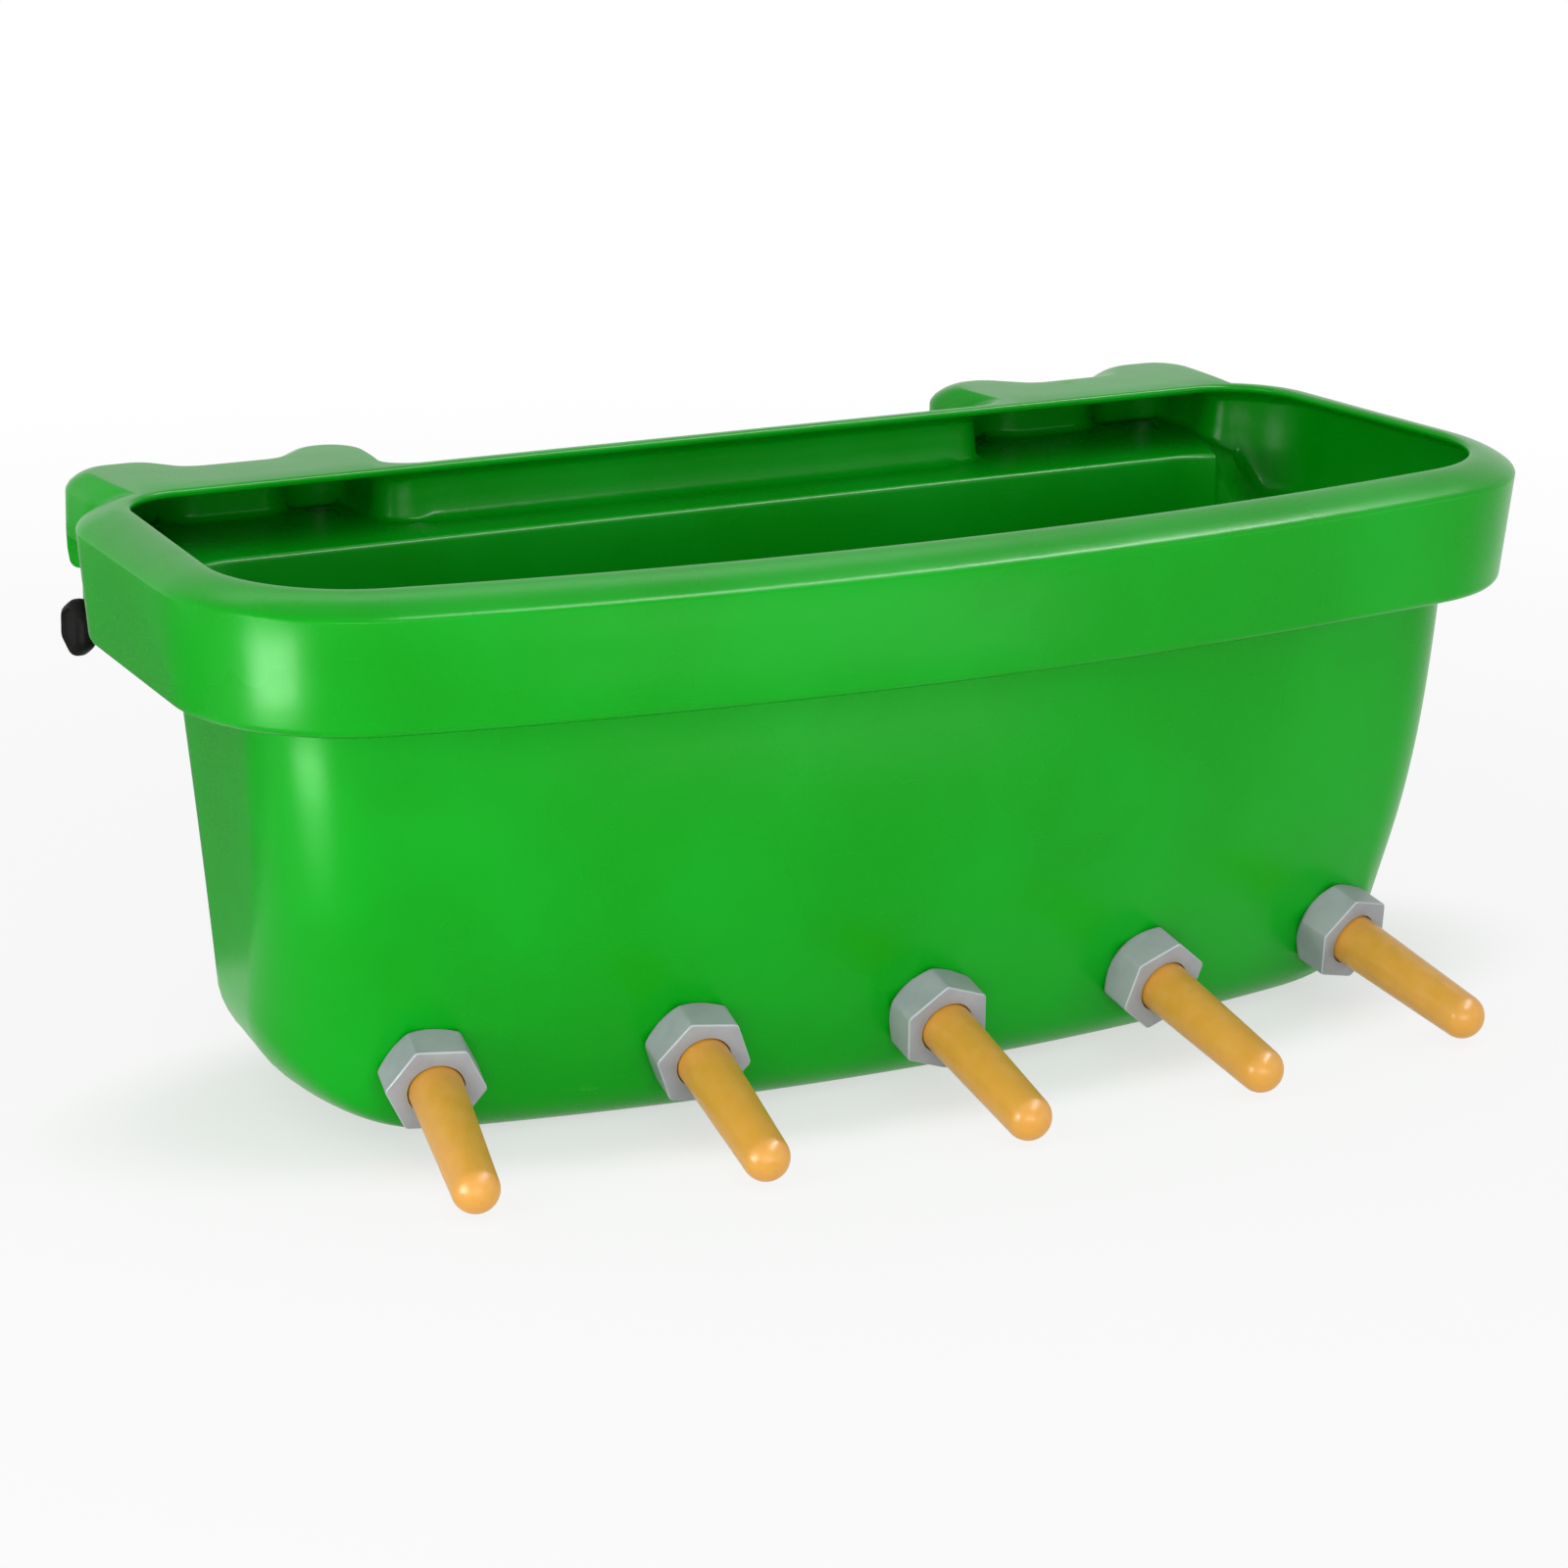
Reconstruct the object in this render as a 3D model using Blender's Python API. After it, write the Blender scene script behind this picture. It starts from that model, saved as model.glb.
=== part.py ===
"""Milk feeding trough for calves, with five teats and two rail hooks.

Metres, +Z up. The origin lies on the flat underside, at the middle of the feed opening in
plan. -Y is the teat side, +Y the side that hangs on the rail. Lengths below are real sizes.
"""
from math import acos, atan, atan2, cos, pi, radians, sin, sqrt, tan

import bmesh
import bpy
import numpy as np
from mathutils import Matrix, Vector

# Feed opening and height
OPENING_HALF_FRONT = 0.360
OPENING_HALF_BACK = 0.3375
OPENING_DEPTH = 0.252
HEIGHT = 0.289
RIM_BOW = 1.663
LIP_CORNER_FRONT = 0.0687
LIP_CORNER_BACK = 0.038
WALL = 0.0045

# Band round the rim
BAND_WIDTH = 0.0271
BAND_DROP = 0.0674
BACK_BAND_DROP = 0.038
BAND_DRAFT = 0.104
RIM_ROUND = 0.0133
BAND_FOOT_ROUND = 0.005
BAND_STEP_ROUND = 0.006

# Tub walls, measured from the lip edge
END_STEP = 0.0138
FRONT_STEP = 0.0001
END_LEAN = 0.0135
BACK_LEAN = 0.0203
TUB_BOW = 1.2313
TUB_CORNER_FRONT = 0.055
TUB_CORNER_BACK = 0.050
FLOOR_CORNER = 0.030
END_ROUND_REACH = 0.0855
END_ROUND_RISE = 0.0624
BACK_ROUND = 0.040
FRONT_ROUND = 0.028
FRONT_TOP_SLOPE = 0.03
TEAT_TILT = radians(16.2)
CURVE_ABOVE_SEAT = 0.0236

# Rail hooks, one outline mirrored to the other end; the inset is from the opening's end
HOOK_INSET = 0.0035
HOOK_WIDTH = 0.159
HOOK_REACH_OUTER = 0.088
HOOK_REACH_INNER = 0.086
HOOK_REACH_MIDDLE = 0.066
HOOK_OUTER_PRONG = 0.043
HOOK_INNER_PRONG = 0.030
HOOK_PRONG_SLOPE = 0.021
HOOK_CORNER = 0.020
HOOK_SHOULDER_ROUND = 0.022
HOOK_WAIST_ROUND = 0.016
HOOK_FOOT_OUTER = 0.012
HOOK_FOOT_INNER = 0.013
FINGER_DROP = 0.055
FINGER_THICK = 0.019
FINGER_DRAFT = 0.0005
BRIDGE_SKIRT = 0.014
BAND_SKIRT_SHARE = 0.6
FINGER_START = 0.010
FINGER_FULL = 0.016
BLOCK_END_ANGLE = radians(33)

# Teat stations; the outer ones stand clear of the front wall's corners
SEAT_FROM_CORNER = 0.0241
PITCH_STEP = 0.0001
STATION_COUNT = 5
SEAT_HEIGHT = 0.043
SEAT_FLAT = 0.034
SEAT_BLEND = 0.050
SEAT_DEPTH = 0.020
WALL_BORE = 0.037
NUT_FLATS = 0.044
NUT_LENGTH = 0.0209
NUT_BORE = 0.037
NUT_SHOULDER = 0.004
NUT_MOUTH = 0.0284
NUT_CHAMFER = 0.003
NUT_CHAMFER_SIDE = 0.0018
NUT_TURNS = (57.0, 53.0, 40.0, 21.5, 45.0)
SPIGOT = 0.0364
SPIGOT_OUT = 0.012
FLANGE = 0.046
FLANGE_THICK = 0.004
SEAL_THICK = 0.0025
SEAL_OUTER = 0.0445
INLET_BORE = 0.008
INLET_WALL = 0.0025
BALL = 0.0124
BALL_TRAVEL = 0.004
CHAMBER = 0.0132
CAGE = 0.024
CAGE_THICK = 0.0025
CAGE_OPENING = 0.009
CAGE_LOBE = 0.015
TEAT_FLANGE = 0.036
TEAT_BASE = 0.0273
TEAT_TIP = 0.0236
TEAT_SHOWN = 0.0912
TEAT_WALL = 0.0032
TEAT_ORIFICE = 0.003

# Swivel locks under the hooks; insets are from the hook's two flanks
LOCK_BACK = 0.0765
LOCK_DROP = 0.0855
KNOB_INSET = 0.0023
KNOB_WIDTH = 0.032
KNOB_THICK = 0.011
KNOB_CHAMFER = 0.0025
KNOB_END_WALL = 0.003
SPINDLE = 0.008
SPINDLE_CHAMFER = 0.0008
LUG_WIDTH = 0.014
LUG_RADIUS = 0.010
LUG_ROOT = 0.011
INNER_LUG_INSET = 0.015
CAM_INSET = 0.075
CAM_HUB = 0.018
CAM_WIDTH = 0.022
CAM_REACH = 0.050
CAM_THICK = 0.008
PIN = 0.003
PIN_BORE = 0.0015
PIN_SUNK = 0.0008
PIN_CHAMFER = 0.0006
PIN_CHAMFER_SIDE = 0.0004
WASHER = 0.017
WASHER_THICK = 0.0012
CLIP_THICK = 0.0012
CLIP_GROOVE = 0.006
CLIP_OUTER = 0.013
CLIP_GAP = radians(70)
SPINDLE_TAIL = 0.003

# Clearances, and how far a cutter runs past the face that it opens
FIT = 0.0003
BORE_PLAY = 0.0007
CUTTER_PAST = 0.005

# A rounding's reach along its two sides: the least, and the most as a share of each side
ROUND_LEAST = 0.0008
ROUND_SHARE = 0.45

# How finely the surfaces are divided
FRONT_STEPS = 15
CORNER_STEPS = 3
END_STEPS = 1
BACK_STEPS = 1
ARC_STEP = radians(32)
RIM_ARC_STEPS = 2
WALL_LEVELS = 3
FLOOR_LEVELS = 3
TURN_STEPS = 20
BORE_STEPS = 16
TEAT_STEPS = 14
SMALL_STEPS = 12
PIN_STEPS = 10

# What follows from the sizes above
BACK_LIP = OPENING_DEPTH / 2
FRONT_LIP = -OPENING_DEPTH / 2
FRONT_CURVE_DEPTH = HEIGHT - BAND_DROP - SEAT_HEIGHT - CURVE_ABOVE_SEAT
HOOK_OUTER = OPENING_HALF_BACK - HOOK_INSET
HOOK_INNER = HOOK_OUTER - HOOK_WIDTH
HOOK_ROOT = HOOK_INNER - HOOK_FOOT_INNER
KNOB_FACE = HOOK_OUTER - KNOB_INSET
INNER_LUG = HOOK_INNER + INNER_LUG_INSET
CAM_PLACE = HOOK_INNER + CAM_INSET

COLOURS = {
    "moulded_green": ((0.0, 0.36, 0.012), 0.30, 0.0),
    "teat_rubber": ((0.58, 0.29, 0.04), 0.45, 0.0),
    "nut_grey": ((0.30, 0.33, 0.35), 0.45, 0.0),
    "valve_white": ((0.72, 0.73, 0.70), 0.40, 0.0),
    "seal_black": ((0.02, 0.02, 0.02), 0.70, 0.0),
    "knob_black": ((0.012, 0.012, 0.012), 0.40, 0.0),
    "steel": ((0.60, 0.60, 0.58), 0.28, 1.0),
}


def clear_scene():
    for item in list(bpy.data.objects):
        bpy.data.objects.remove(item, do_unlink=True)


def material(name):
    """A new Principled material with one finish of the colour table."""
    colour, roughness, metallic = COLOURS[name]
    made = bpy.data.materials.new(name)
    made.use_nodes = True
    shader = made.node_tree.nodes["Principled BSDF"]
    shader.inputs["Base Color"].default_value = (*colour, 1.0)
    shader.inputs["Roughness"].default_value = roughness
    shader.inputs["Metallic"].default_value = metallic
    made.diffuse_color = (*colour, 1.0)
    return made


def add_object(name, verts, faces, finish):
    """A mesh object with outward faces and its own material."""
    mesh = bpy.data.meshes.new(name)
    mesh.from_pydata([tuple(v) for v in verts], [], faces)
    work = bmesh.new()
    work.from_mesh(mesh)
    bmesh.ops.recalc_face_normals(work, faces=work.faces)
    work.to_mesh(mesh)
    work.free()
    item = bpy.data.objects.new(name, mesh)
    bpy.context.scene.collection.objects.link(item)
    if finish:
        mesh.materials.append(material(finish))
    mesh.shade_smooth()
    mesh.set_sharp_from_angle(angle=radians(30))
    return item


def hide_tool(item):
    item.hide_render = True
    item.display_type = "WIRE"


def boolean(item, tool, operation):
    """Cut or join with a hidden tool object, by the exact solver."""
    hide_tool(tool)
    step = item.modifiers.new(operation.lower(), "BOOLEAN")
    step.operation = operation
    step.object = tool
    step.solver = "EXACT"


def turned(name, profile, finish, steps=TURN_STEPS):
    """A closed (radius, height) profile spun about Z; points at radius 0 become poles."""
    verts = []
    rows = []
    for radius, height in profile:
        if radius < 1e-7:
            rows.append([len(verts)] * steps)
            verts.append((0.0, 0.0, height))
            continue
        rows.append(list(range(len(verts), len(verts) + steps)))
        for k in range(steps):
            angle = 2 * pi * k / steps
            verts.append((radius * cos(angle), radius * sin(angle), height))
    faces = []
    for low, high in zip(rows, rows[1:] + rows[:1]):
        for k in range(steps):
            ring = [low[k], low[(k + 1) % steps], high[(k + 1) % steps], high[k]]
            corners = list(dict.fromkeys(ring))
            if len(corners) > 2:
                faces.append(corners)
    return add_object(name, verts, faces, finish)


def stacked(name, outlines, finish):
    """Outlines of equal point count, stacked as (points, height), closed at both ends."""
    verts = []
    faces = []
    count = len(outlines[0][0])
    for points, height in outlines:
        verts += [(x, y, height) for x, y in points]
    for level in range(len(outlines) - 1):
        a = level * count
        for k in range(count):
            b = (k + 1) % count
            faces.append((a + k, a + b, a + count + b, a + count + k))
    faces.append(tuple(range(count)))
    faces.append(tuple(range(len(verts) - count, len(verts))))
    return add_object(name, verts, faces, finish)


def circle_points(radius, steps, centre=(0.0, 0.0), first=0.0, sweep=2 * pi, closed=True):
    last = steps if closed else steps - 1
    return [(centre[0] + radius * cos(first + sweep * k / last),
             centre[1] + radius * sin(first + sweep * k / last)) for k in range(steps)]


def drill(name, diameter, start, end, steps=TURN_STEPS):
    """A round cutter from one point to another."""
    start = Vector(start)
    along = Vector(end) - start
    rings = [(circle_points(diameter / 2, steps), h) for h in (0.0, along.length)]
    tool = stacked(name, rings, None)
    turn = along.to_track_quat("Z", "Y")
    tool.matrix_world = Matrix.LocRotScale(start, turn, None)
    return tool


def smooth(t):
    t = np.clip(t, 0.0, 1.0)
    return t * t * (3.0 - 2.0 * t)


class Columns:
    """Where each column of the shell's grid stands on a plain outline.

    An outline runs from the front's middle to the back's middle through six stretches:
    front bow, front corner, end, back corner, back line to the hook's root, and the rest of
    the back line. A column has its stretch and its share t of that stretch. The columns of
    a hook also carry the hook's own outline.
    """

    def __init__(self):
        front = [(0, k / FRONT_STEPS) for k in range(FRONT_STEPS)]
        corner = [(1, k / CORNER_STEPS) for k in range(CORNER_STEPS)]
        end = [(2, k / END_STEPS) for k in range(END_STEPS)]
        band = outline_frame(*band_sizes())
        angle = self.foot_angle(band)
        foot = (angle - band["a1"]) / (pi / 2 - band["a1"])
        back_corner = [(3, foot * k / CORNER_STEPS) for k in range(CORNER_STEPS)]
        self.before_hook = front + corner + end + back_corner
        self.hook_path, self.hook_normals = hook_outline(band, angle)
        hook = self.spread_hook(foot)
        back = [(5, k / BACK_STEPS) for k in range(1, BACK_STEPS + 1)]
        places = self.before_hook + hook + back
        self.stretch = np.array([p[0] for p in places])
        self.t = np.array([p[1] for p in places])
        self.hook = slice(len(self.before_hook), len(self.before_hook) + len(hook))

    @staticmethod
    def foot_angle(band):
        """Where a fillet circle touches both the band's back corner and the hook's flank."""
        across = HOOK_OUTER + HOOK_FOOT_OUTER - band["back_centre"][0]
        return acos(across / (band["back_radius"] + HOOK_FOOT_OUTER))

    def spread_hook(self, foot):
        """Share the lip's stretch behind the hook between its columns.

        A column's share is half its place along the hook's outline and half its place in X,
        so that lines from the lip to the hook never cross.
        """
        lip = outline_frame(*lip_sizes(0.0))
        arc = (1 - foot) * (pi / 2 - lip["a1"]) * lip["back_radius"]
        line = lip["back_centre"][0] - HOOK_ROOT
        span = arc + line
        count = len(self.hook_path)
        x = self.hook_path[:, 0]
        share = np.arange(count) / (count - 1) / 2 + (x[0] - x) / (x[0] - x[-1]) / 2
        places = []
        for s in share * span:
            if s < arc:
                places.append((3, foot + (1 - foot) * s / arc))
            else:
                places.append((4, (s - arc) / line))
        return places


def lip_sizes(outward):
    """The lip's outline, moved outwards."""
    return (OPENING_HALF_FRONT + outward, OPENING_HALF_BACK + outward, FRONT_LIP - outward,
            BACK_LIP + outward, RIM_BOW, LIP_CORNER_FRONT + outward, LIP_CORNER_BACK + outward)


def band_sizes():
    return lip_sizes(BAND_WIDTH)


def outline_frame(half_front, half_back, y_front, y_back, bow, front_radius, back_radius):
    """Centres and angles of a plain outline's arcs.

    The front is an arc of radius bow through (0, y_front). The end is a straight line from
    the front to the back. Each corner is an arc that touches both of its neighbours.
    """
    bow_centre = np.array([0.0, y_front + bow])
    start = np.array([half_front, y_front + bow - sqrt(bow * bow - half_front * half_front)])
    along = np.array([half_back, y_back]) - start
    along /= np.linalg.norm(along)
    normal = np.array([along[1], -along[0]])
    reach = normal @ start
    foot = normal * (reach - front_radius)
    rel = foot - bow_centre
    b = rel @ along
    c = rel @ rel - (bow - front_radius) ** 2
    front_centre = foot + along * (-b - sqrt(b * b - c))
    away = front_centre - bow_centre
    back_y = y_back - back_radius
    back_x = (reach - back_radius - normal[1] * back_y) / normal[0]
    return {"bow_centre": bow_centre, "bow": bow, "normal": normal,
            "front_centre": front_centre, "front_radius": front_radius,
            "back_centre": np.array([back_x, back_y]), "back_radius": back_radius,
            "a0": atan2(away[1], away[0]), "a1": atan2(normal[1], normal[0])}


def plain_outline(columns, sizes):
    """Plan points and outward normals of one half of a plain outline, at the columns."""
    f = outline_frame(*sizes)
    t = columns.t
    bow_angle = -pi / 2 + (f["a0"] + pi / 2) * t
    front_angle = f["a0"] + (f["a1"] - f["a0"]) * t
    back_angle = f["a1"] + (pi / 2 - f["a1"]) * t

    def arc(centre, radius, angle):
        ray = np.stack([np.cos(angle), np.sin(angle)], -1)
        return centre + radius * ray, ray

    bow = arc(f["bow_centre"], f["bow"], bow_angle)
    front = arc(f["front_centre"], f["front_radius"], front_angle)
    back = arc(f["back_centre"], f["back_radius"], back_angle)
    end_a = f["front_centre"] + f["front_radius"] * f["normal"]
    end_b = f["back_centre"] + f["back_radius"] * f["normal"]
    end = end_a + (end_b - end_a) * t[:, None]
    corner_x = f["back_centre"][0]
    line_y = np.full_like(t, f["back_centre"][1] + f["back_radius"])
    line = np.stack([corner_x + (HOOK_ROOT - corner_x) * t, line_y], -1)
    rest = np.stack([HOOK_ROOT * (1 - t), line_y], -1)
    level = np.zeros_like(line)
    level[:, 1] = 1.0
    side = np.broadcast_to(f["normal"], end.shape)
    points = np.stack([bow[0], front[0], end, back[0], line, rest])
    normals = np.stack([bow[1], front[1], side, back[1], level, level])
    pick = columns.stretch
    each = np.arange(len(pick))
    return points[pick, each], normals[pick, each]


def round_path(corners, radii):
    """Points and left-hand normals along a path whose inner corners are rounded."""
    points = []
    normals = []
    for before, corner, after, radius in zip(corners, corners[1:], corners[2:], radii):
        into = (corner - before) / np.linalg.norm(corner - before)
        out = (after - corner) / np.linalg.norm(after - corner)
        turn = atan2(into[0] * out[1] - into[1] * out[0], into @ out)
        side = 1.0 if turn > 0 else -1.0
        start = corner - into * radius * tan(abs(turn) / 2)
        centre = start + side * radius * np.array([-into[1], into[0]])
        first = atan2(start[1] - centre[1], start[0] - centre[0])
        steps = max(1, round(abs(turn) / ARC_STEP))
        for k in range(steps + 1):
            angle = first + turn * k / steps
            ray = np.array([cos(angle), sin(angle)])
            points.append(centre + radius * ray)
            normals.append(side * ray)
    return np.array(points), np.array(normals)


def hook_outline(band, angle):
    """The hook in plan, from the band's back corner round both prongs to the back line.

    Two prongs reach back past a lower middle; each flank meets the band in a fillet.
    """
    ray = np.array([cos(angle), sin(angle)])
    start = band["back_centre"] + band["back_radius"] * ray
    forward = np.array([-ray[1], ray[0]])
    flank = start + forward * (start[0] - HOOK_OUTER) / ray[1]
    back = BACK_LIP
    outer_end = HOOK_OUTER - HOOK_OUTER_PRONG
    inner_end = HOOK_INNER + HOOK_INNER_PRONG
    corners = [
        start, flank, (HOOK_OUTER, back + HOOK_REACH_OUTER),
        (outer_end, back + HOOK_REACH_OUTER),
        (outer_end - HOOK_PRONG_SLOPE, back + HOOK_REACH_MIDDLE),
        (inner_end + HOOK_PRONG_SLOPE, back + HOOK_REACH_MIDDLE),
        (inner_end, back + HOOK_REACH_INNER), (HOOK_INNER, back + HOOK_REACH_INNER),
        (HOOK_INNER, back + BAND_WIDTH), (0.0, back + BAND_WIDTH)]
    radii = [HOOK_FOOT_OUTER, HOOK_CORNER, HOOK_SHOULDER_ROUND, HOOK_WAIST_ROUND,
             HOOK_WAIST_ROUND, HOOK_SHOULDER_ROUND, HOOK_CORNER, HOOK_FOOT_INNER]
    return round_path([np.array(c) for c in corners], radii)


def front_profile(depth):
    """How far the front wall has moved in at a depth below the band: its slope grows with
    the square of the depth down to the teats' tilt, and stays there."""
    steep = tan(TEAT_TILT)
    gain = steep - FRONT_TOP_SLOPE
    curved = min(depth, FRONT_CURVE_DEPTH)
    inset = FRONT_TOP_SLOPE * curved + gain * curved ** 3 / (3 * FRONT_CURVE_DEPTH ** 2)
    return inset + steep * (depth - curved)


def front_slope(depth):
    steep = tan(TEAT_TILT)
    share = min(depth / FRONT_CURVE_DEPTH, 1.0)
    return FRONT_TOP_SLOPE + (steep - FRONT_TOP_SLOPE) * share ** 2


def tub_levels():
    """Levels of the tub wall below the band, then of its rounding into the floor.

    Each level has three values, for end, front and back, of inset and height, and of the
    direction (in, up) from the outer to the inner skin, with its share of the fall from the
    band to the rounding, and its share of the way to the floor. The rounding is an elliptic
    quarter at the ends and an arc at the front and back.
    """
    end_angle = atan(END_LEAN / (HEIGHT - BAND_DROP - END_ROUND_RISE))
    back_angle = atan(BACK_LEAN / (HEIGHT - BACK_BAND_DROP - BACK_ROUND))
    starts = (END_ROUND_RISE, FRONT_ROUND * (1 - sin(TEAT_TILT)),
              BACK_ROUND * (1 - sin(back_angle)))
    front_depth = HEIGHT - BAND_DROP - starts[1]
    levels = []
    depths = [FRONT_CURVE_DEPTH * k / (WALL_LEVELS - 1) for k in range(WALL_LEVELS)]
    for depth in depths + [front_depth]:
        u = depth / front_depth
        insets = (END_LEAN * u, front_profile(depth), BACK_LEAN * u)
        tilts = (end_angle, atan(front_slope(depth)), back_angle)
        levels.append({"insets": insets, "heights": starts, "fall": u, "floor": 0.0,
                       "into": [cos(q) for q in tilts], "up": [sin(q) for q in tilts]})
    for k in range(1, FLOOR_LEVELS + 1):
        v = k / FLOOR_LEVELS
        end_q = pi / 2 * v
        front_q = TEAT_TILT + (pi / 2 - TEAT_TILT) * v
        back_q = back_angle + (pi / 2 - back_angle) * v
        insets = (END_LEAN + END_ROUND_REACH * (1 - cos(end_q)),
                  front_profile(front_depth) + FRONT_ROUND * (cos(TEAT_TILT) - cos(front_q)),
                  BACK_LEAN + BACK_ROUND * (cos(back_angle) - cos(back_q)))
        heights = (END_ROUND_RISE * (1 - sin(end_q)), FRONT_ROUND * (1 - sin(front_q)),
                   BACK_ROUND * (1 - sin(back_q)))
        end_tilt = atan2(END_ROUND_REACH * sin(end_q), END_ROUND_RISE * cos(end_q))
        tilts = (end_tilt, front_q, back_q)
        levels.append({"insets": insets, "heights": heights, "fall": 1.0,
                       "floor": 1 - cos(end_q),
                       "into": [cos(q) for q in tilts], "up": [sin(q) for q in tilts]})
    return levels


def tub_sizes(level, inside):
    """The tub wall's plain outline at a level, its corners tightening towards the floor."""
    end, front, back = [i + inside * c for i, c in zip(level["insets"], level["into"])]
    front_corner = TUB_CORNER_FRONT + (FLOOR_CORNER - TUB_CORNER_FRONT) * level["floor"]
    back_corner = TUB_CORNER_BACK + (FLOOR_CORNER - TUB_CORNER_BACK) * level["floor"]
    return (OPENING_HALF_FRONT - END_STEP - end, OPENING_HALF_BACK - END_STEP - end,
            FRONT_LIP + FRONT_STEP + front, BACK_LIP - END_STEP - back, TUB_BOW - inside,
            front_corner - inside, back_corner - inside)


def by_side(values, normals):
    """Values for end, front and back, blended by where each column's wall faces."""
    end = normals[:, 0] ** 2
    front = np.where(normals[:, 1] < 0, normals[:, 1] ** 2, 0.0)
    back = np.where(normals[:, 1] > 0, normals[:, 1] ** 2, 0.0)
    return values[0] * end + values[1] * front + values[2] * back


def tub_ring(columns, level, ceiling, inside):
    points, normals = plain_outline(columns, tub_sizes(level, inside))
    height = ceiling + (by_side(level["heights"], normals) - ceiling) * level["fall"]
    return lift(points, height + inside * by_side(level["up"], normals))


def rings_round_corner(before, corner, after, radius, steps):
    """Rings that round one corner of the section, for all columns at once.

    The arc is a rational quadratic curve that touches both sides.
    """
    a = before - corner
    b = after - corner
    la = np.linalg.norm(a, axis=1)
    lb = np.linalg.norm(b, axis=1)
    a = a / la[:, None]
    b = b / lb[:, None]
    half = np.arccos(np.clip(-(a * b).sum(1), -1.0, 1.0)) / 2
    most = ROUND_SHARE * np.minimum(la, lb)
    length = np.clip(radius * np.tan(half), ROUND_LEAST, most)[:, None]
    weight = np.cos(half)[:, None]
    rings = []
    for k in range(steps + 1):
        s = k / steps
        first, middle, last = (1 - s) ** 2, 2 * s * (1 - s) * weight, s ** 2
        bend = (a * first + b * last) * length / (first + middle + last)
        rings.append(corner + bend)
    return rings


def lift(points, height):
    return np.column_stack([points, np.broadcast_to(height, len(points))])


def section(columns, inside):
    """Rings of one skin for the half with x >= 0, from the lip to the floor.

    inside is 0 for the outer skin and the wall's thickness for the inner one. Down each
    column the section's corners are the rim, the band's or finger's foot, the finger's
    inner foot and root, and the step to the tub wall.
    """
    lip = plain_outline(columns, lip_sizes(WALL / 2))[0]
    rim, normals = plain_outline(columns, band_sizes())
    rim[columns.hook] = columns.hook_path
    normals[columns.hook] = columns.hook_normals

    finger = np.zeros(len(rim))
    reach = rim[columns.hook, 1] - BACK_LIP - HOOK_REACH_MIDDLE
    finger[columns.hook] = smooth((reach - FINGER_START) / (FINGER_FULL - FINGER_START))
    raised = raised_share(columns, rim)
    ceiling = BAND_DROP + (BACK_BAND_DROP - BAND_DROP) * raised
    foot = ceiling + (FINGER_DROP - ceiling) * finger

    levels = tub_levels()
    wall_top = plain_outline(columns, tub_sizes(levels[0], 0.0))[0]
    skirt = BAND_SKIRT_SHARE * np.linalg.norm(rim - wall_top, axis=1)
    skirt[columns.hook] = BRIDGE_SKIRT
    skirt = skirt + (FINGER_THICK - inside - skirt) * finger

    def inward(distance, height):
        return lift(rim - normals * np.reshape(distance, (-1, 1)), height)

    top = HEIGHT - inside
    roof = HEIGHT - ceiling + inside
    corners = [lift(lip, top), inward(inside, top),
               inward(inside + BAND_DRAFT * foot, HEIGHT - foot + inside),
               inward(skirt, HEIGHT - foot + inside), inward(skirt + FINGER_DRAFT, roof),
               lift(plain_outline(columns, tub_sizes(levels[0], inside))[0], roof),
               tub_ring(columns, levels[1], HEIGHT - ceiling, inside)]
    rings = [corners[0]]
    rings += rings_round_corner(*corners[0:3], RIM_ROUND - inside, RIM_ARC_STEPS)
    rings += rings_round_corner(*corners[1:4], BAND_FOOT_ROUND - inside, 1)
    rings += corners[3:5]
    rings += rings_round_corner(*corners[4:7], BAND_STEP_ROUND + inside, 1)
    rings += [tub_ring(columns, level, HEIGHT - ceiling, inside) for level in levels[1:]]
    return np.stack([whole_ring(r) for r in rings])


def raised_share(columns, rim):
    """0 on the front, ends and corner blocks, 1 behind the back line and in the hooks.

    The band's underside rises from the corner block to the rail ceiling between
    BLOCK_END_ANGLE on the band's back corner and the line of the band's back.
    """
    band = outline_frame(*band_sizes())
    rel = rim - band["back_centre"]
    angle = np.arctan2(rel[:, 1], rel[:, 0])
    start = band["back_centre"] + band["back_radius"] * np.array(
        [cos(BLOCK_END_ANGLE), sin(BLOCK_END_ANGLE)])
    rise = BACK_LIP + BAND_WIDTH - start[1]
    share = smooth((rim[:, 1] - start[1]) / rise)
    share[columns.stretch < 3] = 0.0
    first = len(columns.before_hook)
    share[:first] *= (angle[:first] > BLOCK_END_ANGLE)
    peak = first + int(np.argmax(share[first:] >= 0.999))
    share[peak:] = 1.0
    return share


def whole_ring(half):
    """A half ring and its mirror image, without doubling the two middle columns."""
    mirror = half[-2:0:-1] * np.array([-1.0, 1.0, 1.0])
    return np.vstack([half, mirror])


def station_pitch():
    """The outer stations stand a set way inside the ends of the front's bow, read where the
    wall's straight part begins, and the others are spread evenly between them, to the
    nearest whole step of the pitch."""
    level = tub_levels()[WALL_LEVELS - 1]
    outline = outline_frame(*tub_sizes(level, 0.0))
    bow_end = outline["bow"] * cos(outline["a0"])
    pitch = 2 * (bow_end - SEAT_FROM_CORNER) / (STATION_COUNT - 1)
    return PITCH_STEP * round(pitch / PITCH_STEP)


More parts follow.
